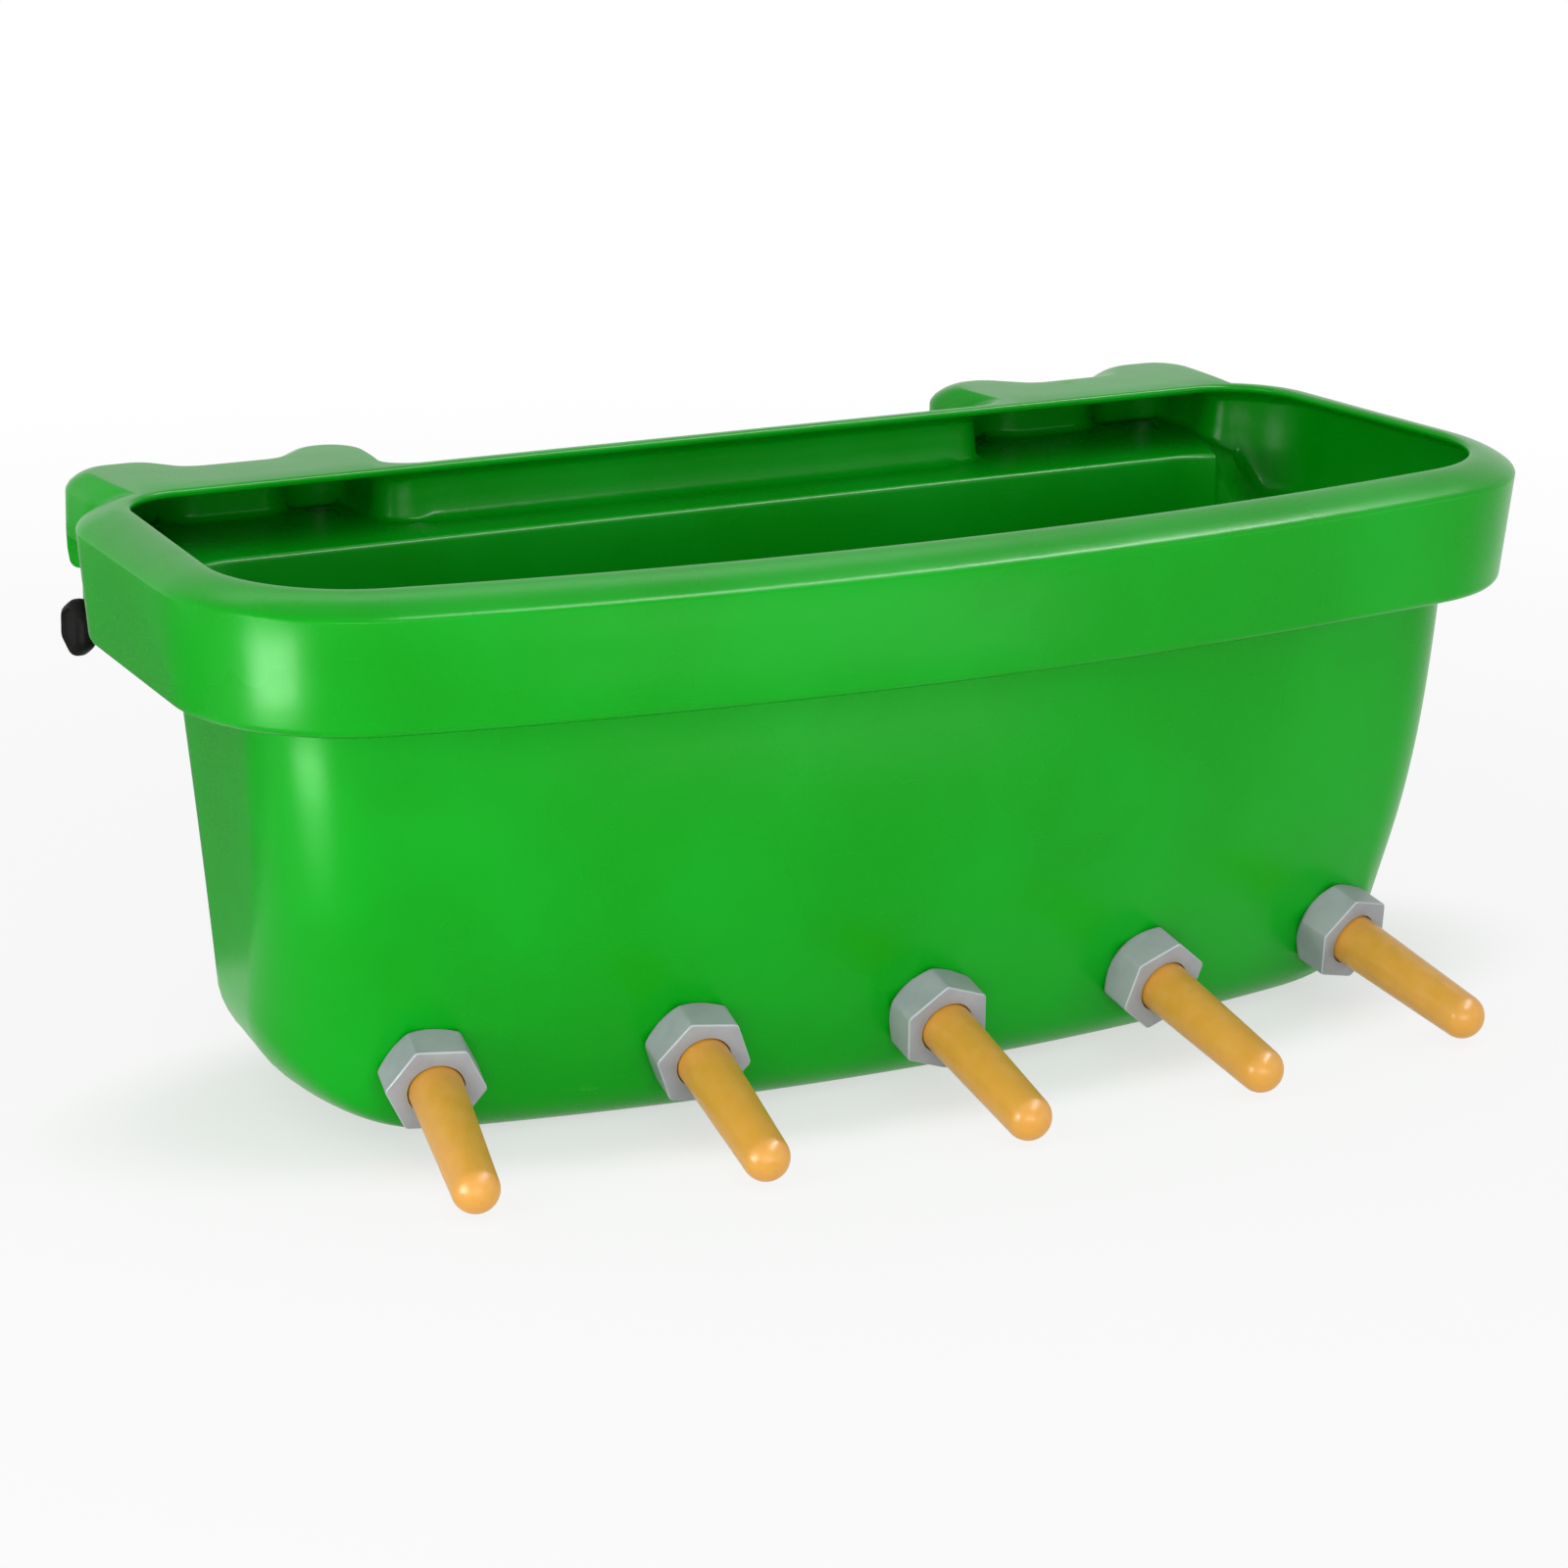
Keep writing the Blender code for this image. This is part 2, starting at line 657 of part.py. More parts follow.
def seat_frames():
    """Each station's seat centre on the front wall and its outward direction."""
    depth = HEIGHT - BAND_DROP - SEAT_HEIGHT
    y_middle = FRONT_LIP + FRONT_STEP + front_profile(depth)
    pitch = station_pitch()
    frames = []
    for k in range(STATION_COUNT):
        x = (k - (STATION_COUNT - 1) / 2) * pitch
        fan = np.arcsin(x / TUB_BOW)
        y = y_middle + TUB_BOW * (1 - cos(fan))
        out = np.array([sin(fan) * cos(TEAT_TILT), -cos(fan) * cos(TEAT_TILT), -sin(TEAT_TILT)])
        frames.append((np.array([x, y, SEAT_HEIGHT]), out))
    return frames


def flatten_seats(grid, depth):
    """Move the wall round each seat onto a plane square to the station's axis."""
    for seat, out in seat_frames():
        rel = grid - (seat - out * depth)
        height = rel @ out
        radius = np.linalg.norm(rel - height[..., None] * out, axis=2)
        near = np.abs(height) < SEAT_DEPTH
        weight = (1 - smooth((radius - SEAT_FLAT) / (SEAT_BLEND - SEAT_FLAT))) * near
        grid -= (height * weight)[..., None] * out
    return grid


def shell_mesh():
    """The one-piece moulded shell: outer skin, inner skin one wall inside it, rounded lip."""
    columns = Columns()
    outer = flatten_seats(section(columns, 0.0), 0.0)
    inner = flatten_seats(section(columns, WALL), WALL)
    edge_half, _ = plain_outline(columns, lip_sizes(0.0))
    edge = whole_ring(lift(edge_half, HEIGHT - WALL / 2))
    grid = np.concatenate([inner[::-1], edge[None], outer])
    rows, count = grid.shape[:2]
    faces = []
    for r in range(rows - 1):
        for c in range(count):
            d = (c + 1) % count
            faces.append((r * count + c, r * count + d, (r + 1) * count + d, (r + 1) * count + c))
    faces.append(tuple(range(count)))
    faces.append(tuple(range((rows - 1) * count, rows * count)))
    return grid.reshape(-1, 3), faces


def build_shell():
    verts, faces = shell_mesh()
    shell = add_object("trough_shell", verts, faces, "moulded_green")
    for side in (-1, 1):
        for k, (low, high) in enumerate(lug_places()):
            lug = build_lug("lug_tool_%d_%d" % (side, k), side, low, high)
            boolean(shell, lug, "UNION")
        axis_y, axis_z = lock_axis()
        inside = side * (INNER_LUG - LUG_WIDTH)
        outside = side * (KNOB_FACE + KNOB_THICK)
        bore = drill("lug_bore_%d" % side, SPINDLE + BORE_PLAY, (inside, axis_y, axis_z),
                     (outside, axis_y, axis_z), BORE_STEPS)
        boolean(shell, bore, "DIFFERENCE")
    for k, (seat, out) in enumerate(seat_frames(), 1):
        hole = drill("wall_bore_%d" % k, WALL_BORE, seat - out * (WALL + CUTTER_PAST),
                     seat + out * CUTTER_PAST)
        boolean(shell, hole, "DIFFERENCE")
    return shell


def lock_axis():
    return BACK_LIP + LOCK_BACK, HEIGHT - LOCK_DROP


def lug_places():
    """X ranges of the outer and the inner lug, on one side."""
    outer = KNOB_FACE - KNOB_THICK - FIT
    inner = INNER_LUG + LUG_WIDTH / 2
    return [(outer - LUG_WIDTH, outer), (inner - LUG_WIDTH, inner)]


def build_lug(name, side, low, high):
    """A lug that hangs from a finger's underside, with a round end about the spindle."""
    axis_y, axis_z = lock_axis()
    top = HEIGHT - FINGER_DROP + WALL / 2
    outline = circle_points(LUG_RADIUS, 9, (axis_y, axis_z), pi, pi, closed=False)
    outline += [(axis_y + LUG_ROOT / 2, top), (axis_y - LUG_ROOT / 2, top)]
    lug = stacked(name, [(outline, side * low), (outline, side * high)], None)
    lug.matrix_world = Matrix(((0, 0, 1, 0), (1, 0, 0, 0), (0, 1, 0, 0), (0, 0, 0, 1)))
    return lug


def station_matrix(seat, out):
    """Local +Z along the teat, local X level."""
    z = Vector(out)
    x = Vector((0, 0, 1)).cross(z).normalized()
    y = z.cross(x)
    turn = Matrix((x, y, z)).transposed()
    return Matrix.LocRotScale(Vector(seat), turn.to_quaternion(), None)


def hexagon(flats, turn):
    radius = flats / 2 / cos(pi / 6)
    return circle_points(radius, 6, first=turn)


def build_nut(name, turn):
    """Hexagonal union nut: threaded bore behind, shoulder with the teat's mouth in front."""
    small = hexagon(NUT_FLATS - 2 * NUT_CHAMFER_SIDE, turn)
    full = hexagon(NUT_FLATS, turn)
    rear, face = FIT, FIT + NUT_LENGTH
    nut = stacked(name, [(small, rear), (full, rear + NUT_CHAMFER), (full, face)], "nut_grey")
    shoulder = face - NUT_SHOULDER
    bore = drill(name + "_bore", NUT_BORE, (0, 0, rear - CUTTER_PAST), (0, 0, shoulder))
    mouth = drill(name + "_mouth", NUT_MOUTH, (0, 0, rear), (0, 0, face + CUTTER_PAST))
    for tool in (bore, mouth):
        tool.parent = nut
        boolean(nut, tool, "DIFFERENCE")
    return nut


def build_teat(name):
    """Rubber teat: flange inside the nut, tapered hollow barrel, round tip with its opening."""
    shoulder = FIT + NUT_LENGTH - NUT_SHOULDER
    rear, front = SPIGOT_OUT + FIT, shoulder - FIT
    tip = FIT + NUT_LENGTH + TEAT_SHOWN
    base, end = TEAT_BASE / 2, TEAT_TIP / 2
    dome = tip - end
    outer = [(TEAT_FLANGE / 2, rear), (TEAT_FLANGE / 2, front), (base, front), (end, dome)]
    outer += [(end * cos(radians(a)), dome + end * sin(radians(a))) for a in (30, 58)]
    outer.append((TEAT_ORIFICE / 2, tip))
    bore = end - TEAT_WALL
    inner = [(TEAT_ORIFICE / 2, dome + bore)]
    inner.append((bore * cos(pi / 4), dome + bore * sin(pi / 4)))
    inner += [(bore, dome), (base - TEAT_WALL, front), (base - TEAT_WALL, rear)]
    return turned(name, outer + inner, "teat_rubber", TEAT_STEPS)


def flange_rear():
    return -(WALL + FIT + SEAL_THICK + FIT + FLANGE_THICK)


def cage_rear():
    """Where the cage starts, so that the ball's travel fits between its seat and the cage."""
    seat_gap = sqrt((BALL / 2) ** 2 - (INLET_BORE / 2) ** 2)
    stop_gap = sqrt((BALL / 2) ** 2 - (CAGE_OPENING / 2) ** 2)
    seat = flange_rear() + INLET_WALL
    return seat + seat_gap + FIT + BALL_TRAVEL + FIT + stop_gap


def build_valve_body(name):
    """Spigot through the wall with an inner flange, ball chamber and cage counterbore."""
    rear = flange_rear()
    seat = rear + INLET_WALL
    counter = cage_rear() - FIT
    profile = [
        (INLET_BORE / 2, rear), (FLANGE / 2, rear), (FLANGE / 2, rear + FLANGE_THICK),
        (SPIGOT / 2, rear + FLANGE_THICK), (SPIGOT / 2, SPIGOT_OUT),
        (CAGE / 2 + FIT, SPIGOT_OUT), (CAGE / 2 + FIT, counter), (CHAMBER / 2, counter),
        (CHAMBER / 2, seat), (INLET_BORE / 2, seat)]
    return turned(name, profile, "valve_white")


def build_seal(name):
    low = -(WALL + FIT + SEAL_THICK)
    high = -(WALL + FIT)
    bore = SPIGOT / 2 + FIT
    profile = [(bore, low), (SEAL_OUTER / 2, low), (SEAL_OUTER / 2, high), (bore, high)]
    return turned(name, profile, "seal_black")


def build_cage(name):
    """Disc with a four-lobed opening: the ball stops on its points, the milk passes round."""
    steps = BORE_STEPS
    low, high = cage_rear(), cage_rear() + CAGE_THICK
    outer = circle_points(CAGE / 2, steps)
    mean = (CAGE_LOBE + CAGE_OPENING) / 4
    swing = (CAGE_LOBE - CAGE_OPENING) / 4
    inner = []
    for k in range(steps):
        angle = 2 * pi * k / steps
        radius = mean + swing * cos(4 * angle)
        inner.append((radius * cos(angle), radius * sin(angle)))
    verts = []
    for points, height in ((outer, low), (outer, high), (inner, high), (inner, low)):
        verts += [(x, y, height) for x, y in points]
    faces = []
    for a in range(4):
        b = (a + 1) % 4
        for k in range(steps):
            n = (k + 1) % steps
            faces.append((a * steps + k, a * steps + n, b * steps + n, b * steps + k))
    return add_object(name, verts, faces, "valve_white")


def build_ball(name):
    work = bmesh.new()
    bmesh.ops.create_uvsphere(work, u_segments=10, v_segments=6, radius=BALL / 2)
    mesh = bpy.data.meshes.new(name)
    work.to_mesh(mesh)
    work.free()
    ball = bpy.data.objects.new(name, mesh)
    bpy.context.scene.collection.objects.link(ball)
    mesh.materials.append(material("steel"))
    mesh.shade_smooth()
    return ball


def ball_place():
    stop_gap = sqrt((BALL / 2) ** 2 - (CAGE_OPENING / 2) ** 2)
    return cage_rear() - FIT - stop_gap


def build_station(number, seat, out):
    place = station_matrix(seat, out)
    turn = radians(NUT_TURNS[number - 1] if number <= len(NUT_TURNS) else 0.0)
    pieces = [build_nut("union_nut_%d" % number, turn), build_teat("teat_%d" % number),
              build_valve_body("valve_body_%d" % number), build_seal("wall_seal_%d" % number),
              build_cage("valve_cage_%d" % number)]
    for piece in pieces:
        piece.matrix_world = place
    ball = build_ball("check_ball_%d" % number)
    ball.matrix_world = place @ Matrix.Translation((0, 0, ball_place()))


def lock_frame(side, x):
    """Local +Z outwards along the spindle, local X to the front, at one place along it."""
    axis_y, axis_z = lock_axis()
    z = Vector((side, 0, 0))
    fore = Vector((0, -1, 0))
    turn = Matrix((fore, z.cross(fore), z)).transposed()
    return Matrix.LocRotScale(Vector((side * x, axis_y, axis_z)), turn.to_quaternion(), None)


def build_knob(name):
    """Six-sided knob with chamfered faces and a blind bore; local 0 is its inner face."""
    flats = KNOB_WIDTH * cos(pi / 6)
    full = hexagon(flats, pi / 6)
    small = hexagon(flats - 2 * KNOB_CHAMFER, pi / 6)
    levels = [(small, 0.0), (full, KNOB_CHAMFER), (full, KNOB_THICK - KNOB_CHAMFER),
              (small, KNOB_THICK)]
    knob = stacked(name, levels, "knob_black")
    depth = KNOB_THICK - KNOB_END_WALL
    bore = drill(name + "_bore", SPINDLE + 2 * FIT, (0, 0, -CUTTER_PAST), (0, 0, depth), BORE_STEPS)
    bore.parent = knob
    boolean(knob, bore, "DIFFERENCE")
    return knob


def spindle_ends():
    """Inner and outer end of the spindle along X."""
    inner = lug_places()[1][0] - 2 * FIT - WASHER_THICK - FIT - CLIP_THICK - SPINDLE_TAIL
    outer = KNOB_FACE - KNOB_END_WALL - FIT
    return inner, outer


def clip_place():
    return lug_places()[1][0] - FIT - WASHER_THICK - FIT - CLIP_THICK


def build_spindle(name):
    """Steel rod with a groove for its clip; local 0 is its inner end."""
    inner, outer = spindle_ends()
    groove = clip_place() - inner
    r = SPINDLE / 2
    g = CLIP_GROOVE / 2 - FIT
    low, high = groove - FIT / 2, groove + CLIP_THICK + FIT / 2
    profile = [(0, 0), (r - SPINDLE_CHAMFER, 0), (r, SPINDLE_CHAMFER), (r, low), (g, low),
               (g, high), (r, high), (r, outer - inner), (0, outer - inner)]
    rod = turned(name, profile, "steel", SMALL_STEPS)
    pin_place = CAM_PLACE - inner
    hole = drill(name + "_hole", PIN + 2 * FIT, (0, -2 * r, pin_place), (0, 2 * r, pin_place),
                 SMALL_STEPS)
    hole.parent = rod
    boolean(rod, hole, "DIFFERENCE")
    return rod


def build_cam(name):
    """Locking arm: a round hub on the spindle and a flat arm that reaches under the rail."""
    hub = CAM_HUB / 2
    half = CAM_THICK / 2
    first = atan2(half, sqrt(hub * hub - half * half))
    sweep = 2 * pi - 2 * first
    outline = circle_points(hub, SMALL_STEPS, first=first, sweep=sweep, closed=False)
    tip = CAM_REACH - half
    outline += circle_points(half, 5, (tip, 0.0), -pi / 2, pi, closed=False)
    levels = [(outline, -CAM_WIDTH / 2), (outline, CAM_WIDTH / 2)]
    cam = stacked(name, levels, "knob_black")
    bore = drill(name + "_bore", SPINDLE + 2 * FIT, (0, 0, -CAM_WIDTH), (0, 0, CAM_WIDTH),
                 BORE_STEPS)
    hole = drill(name + "_hole", PIN + 2 * FIT, (0, -CAM_HUB, 0), (0, CAM_HUB, 0), SMALL_STEPS)
    for tool in (bore, hole):
        tool.parent = cam
        boolean(cam, tool, "DIFFERENCE")
    return cam


def build_pin(name):
    """Split spring pin through the cam's hub and the spindle, a little below flush."""
    half = CAM_HUB / 2 - PIN_SUNK
    bore = PIN_BORE / 2
    end = PIN / 2 - PIN_CHAMFER_SIDE
    profile = [(bore, -half), (end, -half), (PIN / 2, -half + PIN_CHAMFER),
               (PIN / 2, half - PIN_CHAMFER), (end, half), (bore, half)]
    return turned(name, profile, "steel", PIN_STEPS)


def build_washer(name):
    bore = SPINDLE / 2 + FIT
    profile = [(bore, 0), (WASHER / 2, 0), (WASHER / 2, WASHER_THICK), (bore, WASHER_THICK)]
    return turned(name, profile, "steel", BORE_STEPS)


def build_clip(name):
    """Open retaining clip that snaps into the spindle's groove."""
    first, sweep = CLIP_GAP / 2, 2 * pi - CLIP_GAP
    outer = circle_points(CLIP_OUTER / 2, SMALL_STEPS, first=first, sweep=sweep, closed=False)
    inner = circle_points(CLIP_GROOVE / 2, SMALL_STEPS, first=first, sweep=sweep, closed=False)
    outline = outer + inner[::-1]
    return stacked(name, [(outline, 0.0), (outline, CLIP_THICK)], "steel")


def build_lock(side, label):
    knob = build_knob("lock_knob_" + label)
    knob.matrix_world = lock_frame(side, KNOB_FACE - KNOB_THICK)
    rod = build_spindle("lock_spindle_" + label)
    rod.matrix_world = lock_frame(side, spindle_ends()[0])
    cam = build_cam("lock_cam_" + label)
    cam.matrix_world = lock_frame(side, CAM_PLACE)
    pin = build_pin("lock_pin_" + label)
    pin.matrix_world = lock_frame(side, CAM_PLACE) @ Matrix.Rotation(pi / 2, 4, "X")
    washer = build_washer("lock_washer_" + label)
    washer.matrix_world = lock_frame(side, clip_place() + CLIP_THICK + FIT)
    clip = build_clip("lock_clip_" + label)
    clip.matrix_world = lock_frame(side, clip_place())


def main():
    clear_scene()
    build_shell()
    for number, (seat, out) in enumerate(seat_frames(), 1):
        build_station(number, seat, out)
    for side, label in ((-1, "left"), (1, "right")):
        build_lock(side, label)


main()
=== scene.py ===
"""Looks of the milk feeding trough: fine surfaces, finishes, studio and camera.

Metres, +Z up, the teats towards -Y, as in the frame. Every new surface is a grid of points
worked out with numpy, and every finish reads Object coordinates or an attribute.
"""
from math import acos, atan, atan2, cos, pi, radians, sin, sqrt, tan

import bmesh
import bpy
import numpy as np
from mathutils import Matrix, Vector


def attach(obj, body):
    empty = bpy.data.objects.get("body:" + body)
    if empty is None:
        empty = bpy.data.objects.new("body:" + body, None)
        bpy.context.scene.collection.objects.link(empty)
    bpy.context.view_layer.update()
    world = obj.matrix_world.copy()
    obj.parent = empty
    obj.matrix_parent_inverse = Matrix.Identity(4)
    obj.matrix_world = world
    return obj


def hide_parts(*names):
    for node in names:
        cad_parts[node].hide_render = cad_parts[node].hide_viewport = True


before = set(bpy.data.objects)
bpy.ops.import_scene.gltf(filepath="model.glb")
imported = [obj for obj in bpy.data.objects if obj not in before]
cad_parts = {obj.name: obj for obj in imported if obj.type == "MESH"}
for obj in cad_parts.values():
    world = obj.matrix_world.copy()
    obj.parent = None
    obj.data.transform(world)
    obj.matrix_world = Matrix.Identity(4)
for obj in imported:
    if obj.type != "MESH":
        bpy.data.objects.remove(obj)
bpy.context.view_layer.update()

# Feed opening, height and wall
HALF_FRONT, HALF_BACK = 0.360, 0.3375
OPENING_DEPTH, HEIGHT, WALL = 0.252, 0.289, 0.0045
RIM_BOW = 1.663
LIP_CORNER_FRONT, LIP_CORNER_BACK = 0.0687, 0.038
FRONT_LIP, BACK_LIP = -OPENING_DEPTH / 2, OPENING_DEPTH / 2

# Band round the rim
BAND_WIDTH, BAND_DRAFT = 0.0271, 0.104
BAND_DROP, BACK_BAND_DROP = 0.0674, 0.038
RIM_ROUND, BAND_FOOT_ROUND, BAND_STEP_ROUND = 0.0133, 0.005, 0.006
FINGER_FOOT_ROUND = 0.004

# Tub walls, measured from the lip edge
END_STEP, FRONT_STEP = 0.0138, 0.0001
END_LEAN, BACK_LEAN = 0.0135, 0.0203
TUB_BOW, TUB_CORNER_FRONT, TUB_CORNER_BACK, FLOOR_CORNER = 1.2313, 0.055, 0.050, 0.030
END_ROUND_REACH, END_ROUND_RISE = 0.0855, 0.0624
BACK_ROUND, FRONT_ROUND = 0.040, 0.028
FRONT_TOP_SLOPE, FRONT_CURVE_DEPTH = 0.03, 0.155
TEAT_TILT = radians(16.2)

# Rail hooks
HOOK_OUTER, HOOK_INNER = 0.334, 0.175
HOOK_REACH_OUTER, HOOK_REACH_INNER, HOOK_REACH_MIDDLE = 0.088, 0.086, 0.066
HOOK_OUTER_PRONG, HOOK_INNER_PRONG, HOOK_PRONG_SLOPE = 0.043, 0.030, 0.021
HOOK_CORNER, HOOK_SHOULDER_ROUND, HOOK_WAIST_ROUND = 0.020, 0.022, 0.016
HOOK_FOOT_OUTER, HOOK_FOOT_INNER = 0.012, 0.013
FINGER_DROP, FINGER_THICK, FINGER_DRAFT = 0.055, 0.019, 0.0005
BRIDGE_SKIRT, BAND_SKIRT_SHARE = 0.014, 0.6
FINGER_START, FINGER_FULL = 0.010, 0.016
BLOCK_END_ANGLE = radians(33)
HOOK_ROOT = HOOK_INNER - HOOK_FOOT_INNER

# Teat stations
STATION_PITCH, STATIONS, SEAT_HEIGHT = 0.1316, 5, 0.043
WALL_BORE = 0.037
NUT_FLATS, NUT_LENGTH, NUT_BORE, NUT_SHOULDER, NUT_MOUTH = 0.044, 0.0209, 0.037, 0.004, 0.0284
NUT_TURNS = (57.0, 53.0, 40.0, 21.5, 45.0)
THREAD_PITCH, THREAD_DEPTH = 0.003, 0.0007
SPIGOT, SPIGOT_OUT = 0.0364, 0.012
FLANGE, FLANGE_THICK = 0.046, 0.004
SEAL_THICK, SEAL_OUTER = 0.0025, 0.0445
INLET_BORE, INLET_WALL = 0.008, 0.0025
BALL, BALL_TRAVEL, CHAMBER = 0.0124, 0.004, 0.0132
CAGE, CAGE_THICK, CAGE_OPENING, CAGE_LOBE = 0.024, 0.0025, 0.009, 0.015
TEAT_FLANGE, TEAT_BASE, TEAT_TIP = 0.036, 0.0273, 0.0236
TEAT_SHOWN, TEAT_WALL, TEAT_SLIT = 0.0912, 0.0032, 0.0005

# Swivel locks
LOCK_Y, LOCK_Z = BACK_LIP + 0.0765, HEIGHT - 0.0855
KNOB_FACE, KNOB_WIDTH, KNOB_THICK, KNOB_END_WALL = 0.3317, 0.032, 0.011, 0.003
SPINDLE, LUG_WIDTH, LUG_RADIUS, LUG_ROOT = 0.008, 0.014, 0.010, 0.011
INNER_LUG, CAM_PLACE = 0.190, 0.250
CAM_HUB, CAM_WIDTH, CAM_REACH, CAM_THICK = 0.018, 0.022, 0.050, 0.008
PIN, PIN_BORE, PIN_SUNK = 0.003, 0.0015, 0.0008
WASHER, WASHER_THICK = 0.017, 0.0012
CLIP_THICK, CLIP_GROOVE, CLIP_OUTER, CLIP_GAP = 0.0012, 0.006, 0.013, radians(70)
SPINDLE_TAIL = 0.003

FIT, BORE_PLAY = 0.0003, 0.0007
ROUND_LEAST, ROUND_SHARE = 0.0008, 0.45

# Small edges of the station pieces. Corner counts say how sharp a hexagon's corners are, and
# the nut's blend how sharply its cone cuts them; rounds run along each profile's corners.
NUT_CORNERS, NUT_BLEND = 46, 3000
NUT_CONE_INSET, NUT_CONE_SLOPE, NUT_CONE_DEPTH = 0.0004, 1.15, 0.0045
NUT_BEVEL, NUT_REAR_EDGE = 0.0009, 0.0008
NUT_FLAT_END, NUT_MOUTH_EDGE = 1.6 * NUT_BEVEL, ((0.0008, 0), (0.0002, 0.0003), (0, 0.0009))
THREAD_FADE, THREAD_FRONT, THREAD_REAR = 0.002, 0.0008, 0.0012
TEAT_FLANGE_ROUND, TEAT_SLIT_DEPTH, TEAT_INSIDE_TOP, TEAT_INSIDE_OPEN = 0.0008, 0.0006, 0.97, 0.2
FLANGE_ROUNDS, SPIGOT_EDGE = (0.0006, 0.0009, 0.0005, 0.0), 0.0006
CHAMBER_ROUNDS = (0.0003, 0.0004, 0.0, 0.0004, 0.001, 0.0004)
SEAL_ROUND, CAGE_EDGE = 0.0006, 0.0004

# Small edges of the lock pieces
LUG_EDGE, LUG_FLARE, LUG_FLARE_FROM, LUG_FLARE_RUN = 0.0008, 0.003, 0.55, 0.45
KNOB_CORNERS, KNOB_EDGE = 10, 0.0045
KNOB_DISH, KNOB_DISH_RIM, KNOB_DISH_FLOOR = 0.0012, 0.72, 0.62
SPINDLE_CHAMFER, CAM_EDGE, WASHER_ROUND = 0.0008, 0.001, 0.0002
PIN_CHAMFER, PIN_CHAMFER_LENGTH = 0.0004, 0.0006

# Moulded surface: the rim's crown, the inner step, the flats round the seats and the parting
# line of the mould. The band's face lies a little inside its plan line, for the bead's room.
CROWN_REACH, CROWN_SHARE, CROWN_FULLNESS = 0.0238, 0.96, 0.5
INNER_STEP_ROUND, INNER_FOOT_FILLET, INNER_CORNER_ROUND = 0.003, 0.008, 0.018
SEAT_FLAT, SEAT_BLEND, SEAT_DEPTH = 0.0265, 0.036, 0.020
FLANK_EASE = 0.020
PARTING_BELOW_TOP, PARTING_WIDTH, PARTING_RISE = 0.008, 0.0009, 0.0002
BAND_BEAD_ROOM = 0.0005
BAND_FACE = BAND_WIDTH - BAND_BEAD_ROOM

# How finely the shell is divided
FRONT_COLUMNS, CORNER_COLUMNS, END_COLUMNS, BACK_COLUMNS = 70, 22, 12, 20
HOOK_SPACING, EVEN_SHARE = 0.003, 0.04
RIM_ROWS, FOOT_ROWS, FLAT_ROWS, STEP_ROWS, WALL_ROWS, FLOOR_ROWS, LIP_ROWS = 20, 5, 2, 5, 18, 14, 5
PATH_POINTS, BORE_STEPS, SHELL_MERGE, TINY, FULL = 40, 64, 1e-7, 1e-9, 0.999

# How finely the small pieces are divided: steps round, and rows along
NUT_STEPS, NUT_CONE_ROWS, NUT_BEVEL_ROWS, NUT_THREAD_ROWS = 120, 8, 5, 50
TEAT_STEPS, TEAT_FLANGE_EASE, BARREL_ROWS, DOME_ROWS, INSIDE_ROWS = 72, 4, 24, 20, 10
VALVE_STEPS, SPIGOT_ROWS, SEAL_STEPS, CAGE_STEPS, FINE_EASE = 96, 60, 72, 96, 3
BALL_STEPS, BALL_ROWS, LUG_STEPS, KNOB_STEPS, KNOB_EDGE_ROWS = 48, 33, 96, 96, 6
SPINDLE_STEPS, CAM_STEPS, PIN_STEPS, WASHER_STEPS, WASHER_EASE, CLIP_STEPS = 48, 144, 32, 64, 2, 48


# Grid surfaces


def add_object(name, data):
    """A new object of the scene."""
    thing = bpy.data.objects.new(name, data)
    bpy.context.scene.collection.objects.link(thing)
    return thing


def mesh_of(name, points, faces, merge=1e-6):
    """A mesh with merged poles and seams and outward faces."""
    mesh = bpy.data.meshes.new(name)
    mesh.from_pydata(points.tolist(), [], faces)
    work = bmesh.new()
    work.from_mesh(mesh)
    bmesh.ops.remove_doubles(work, verts=work.verts, dist=merge)
    bmesh.ops.recalc_face_normals(work, faces=work.faces)
    work.to_mesh(mesh)
    work.free()
    return mesh


def ring_faces(rows, columns, ends):
    """Quads between rings of points. The last ring meets the first ("joined"), or each end
    gets a flat face ("flat"), or each end is a point already ("poles")."""
    r = np.arange(rows if ends == "joined" else rows - 1)[:, None]
    c = np.arange(columns)[None, :]
    n, d = (r + 1) % rows, (c + 1) % columns
    quads = np.stack([r * columns + c, r * columns + d, n * columns + d, n * columns + c], -1)
    faces = quads.reshape(-1, 4).tolist()
    if ends == "flat":
        faces += [list(range(columns)), list(range((rows - 1) * columns, rows * columns))]
    return faces


def add_piece(name, mesh, finish, body, nodes, sharp=40):
    """A visible piece in its finish, on its body, in place of the named nodes."""
    piece = add_object(name, mesh)
    mesh.materials.append(finish)
    mesh.shade_smooth()
    mesh.set_sharp_from_angle(angle=radians(sharp))
    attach(piece, body)
    if nodes:
        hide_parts(*nodes)
    return piece


def placed(grid, place):
    """Grid points carried from a piece's own axes to the part's."""
    m = np.array(place)
    return grid @ m[:3, :3].T + m[:3, 3]


def loft(name, grid, place, finish, body, nodes, sharp=40, ends="joined"):
    """A closed body from rings of points in the piece's own axes."""
    points = placed(grid, place).reshape(-1, 3)
    mesh = mesh_of(name, points, ring_faces(*grid.shape[:2], ends))
    return add_piece(name, mesh, finish, body, nodes, sharp)


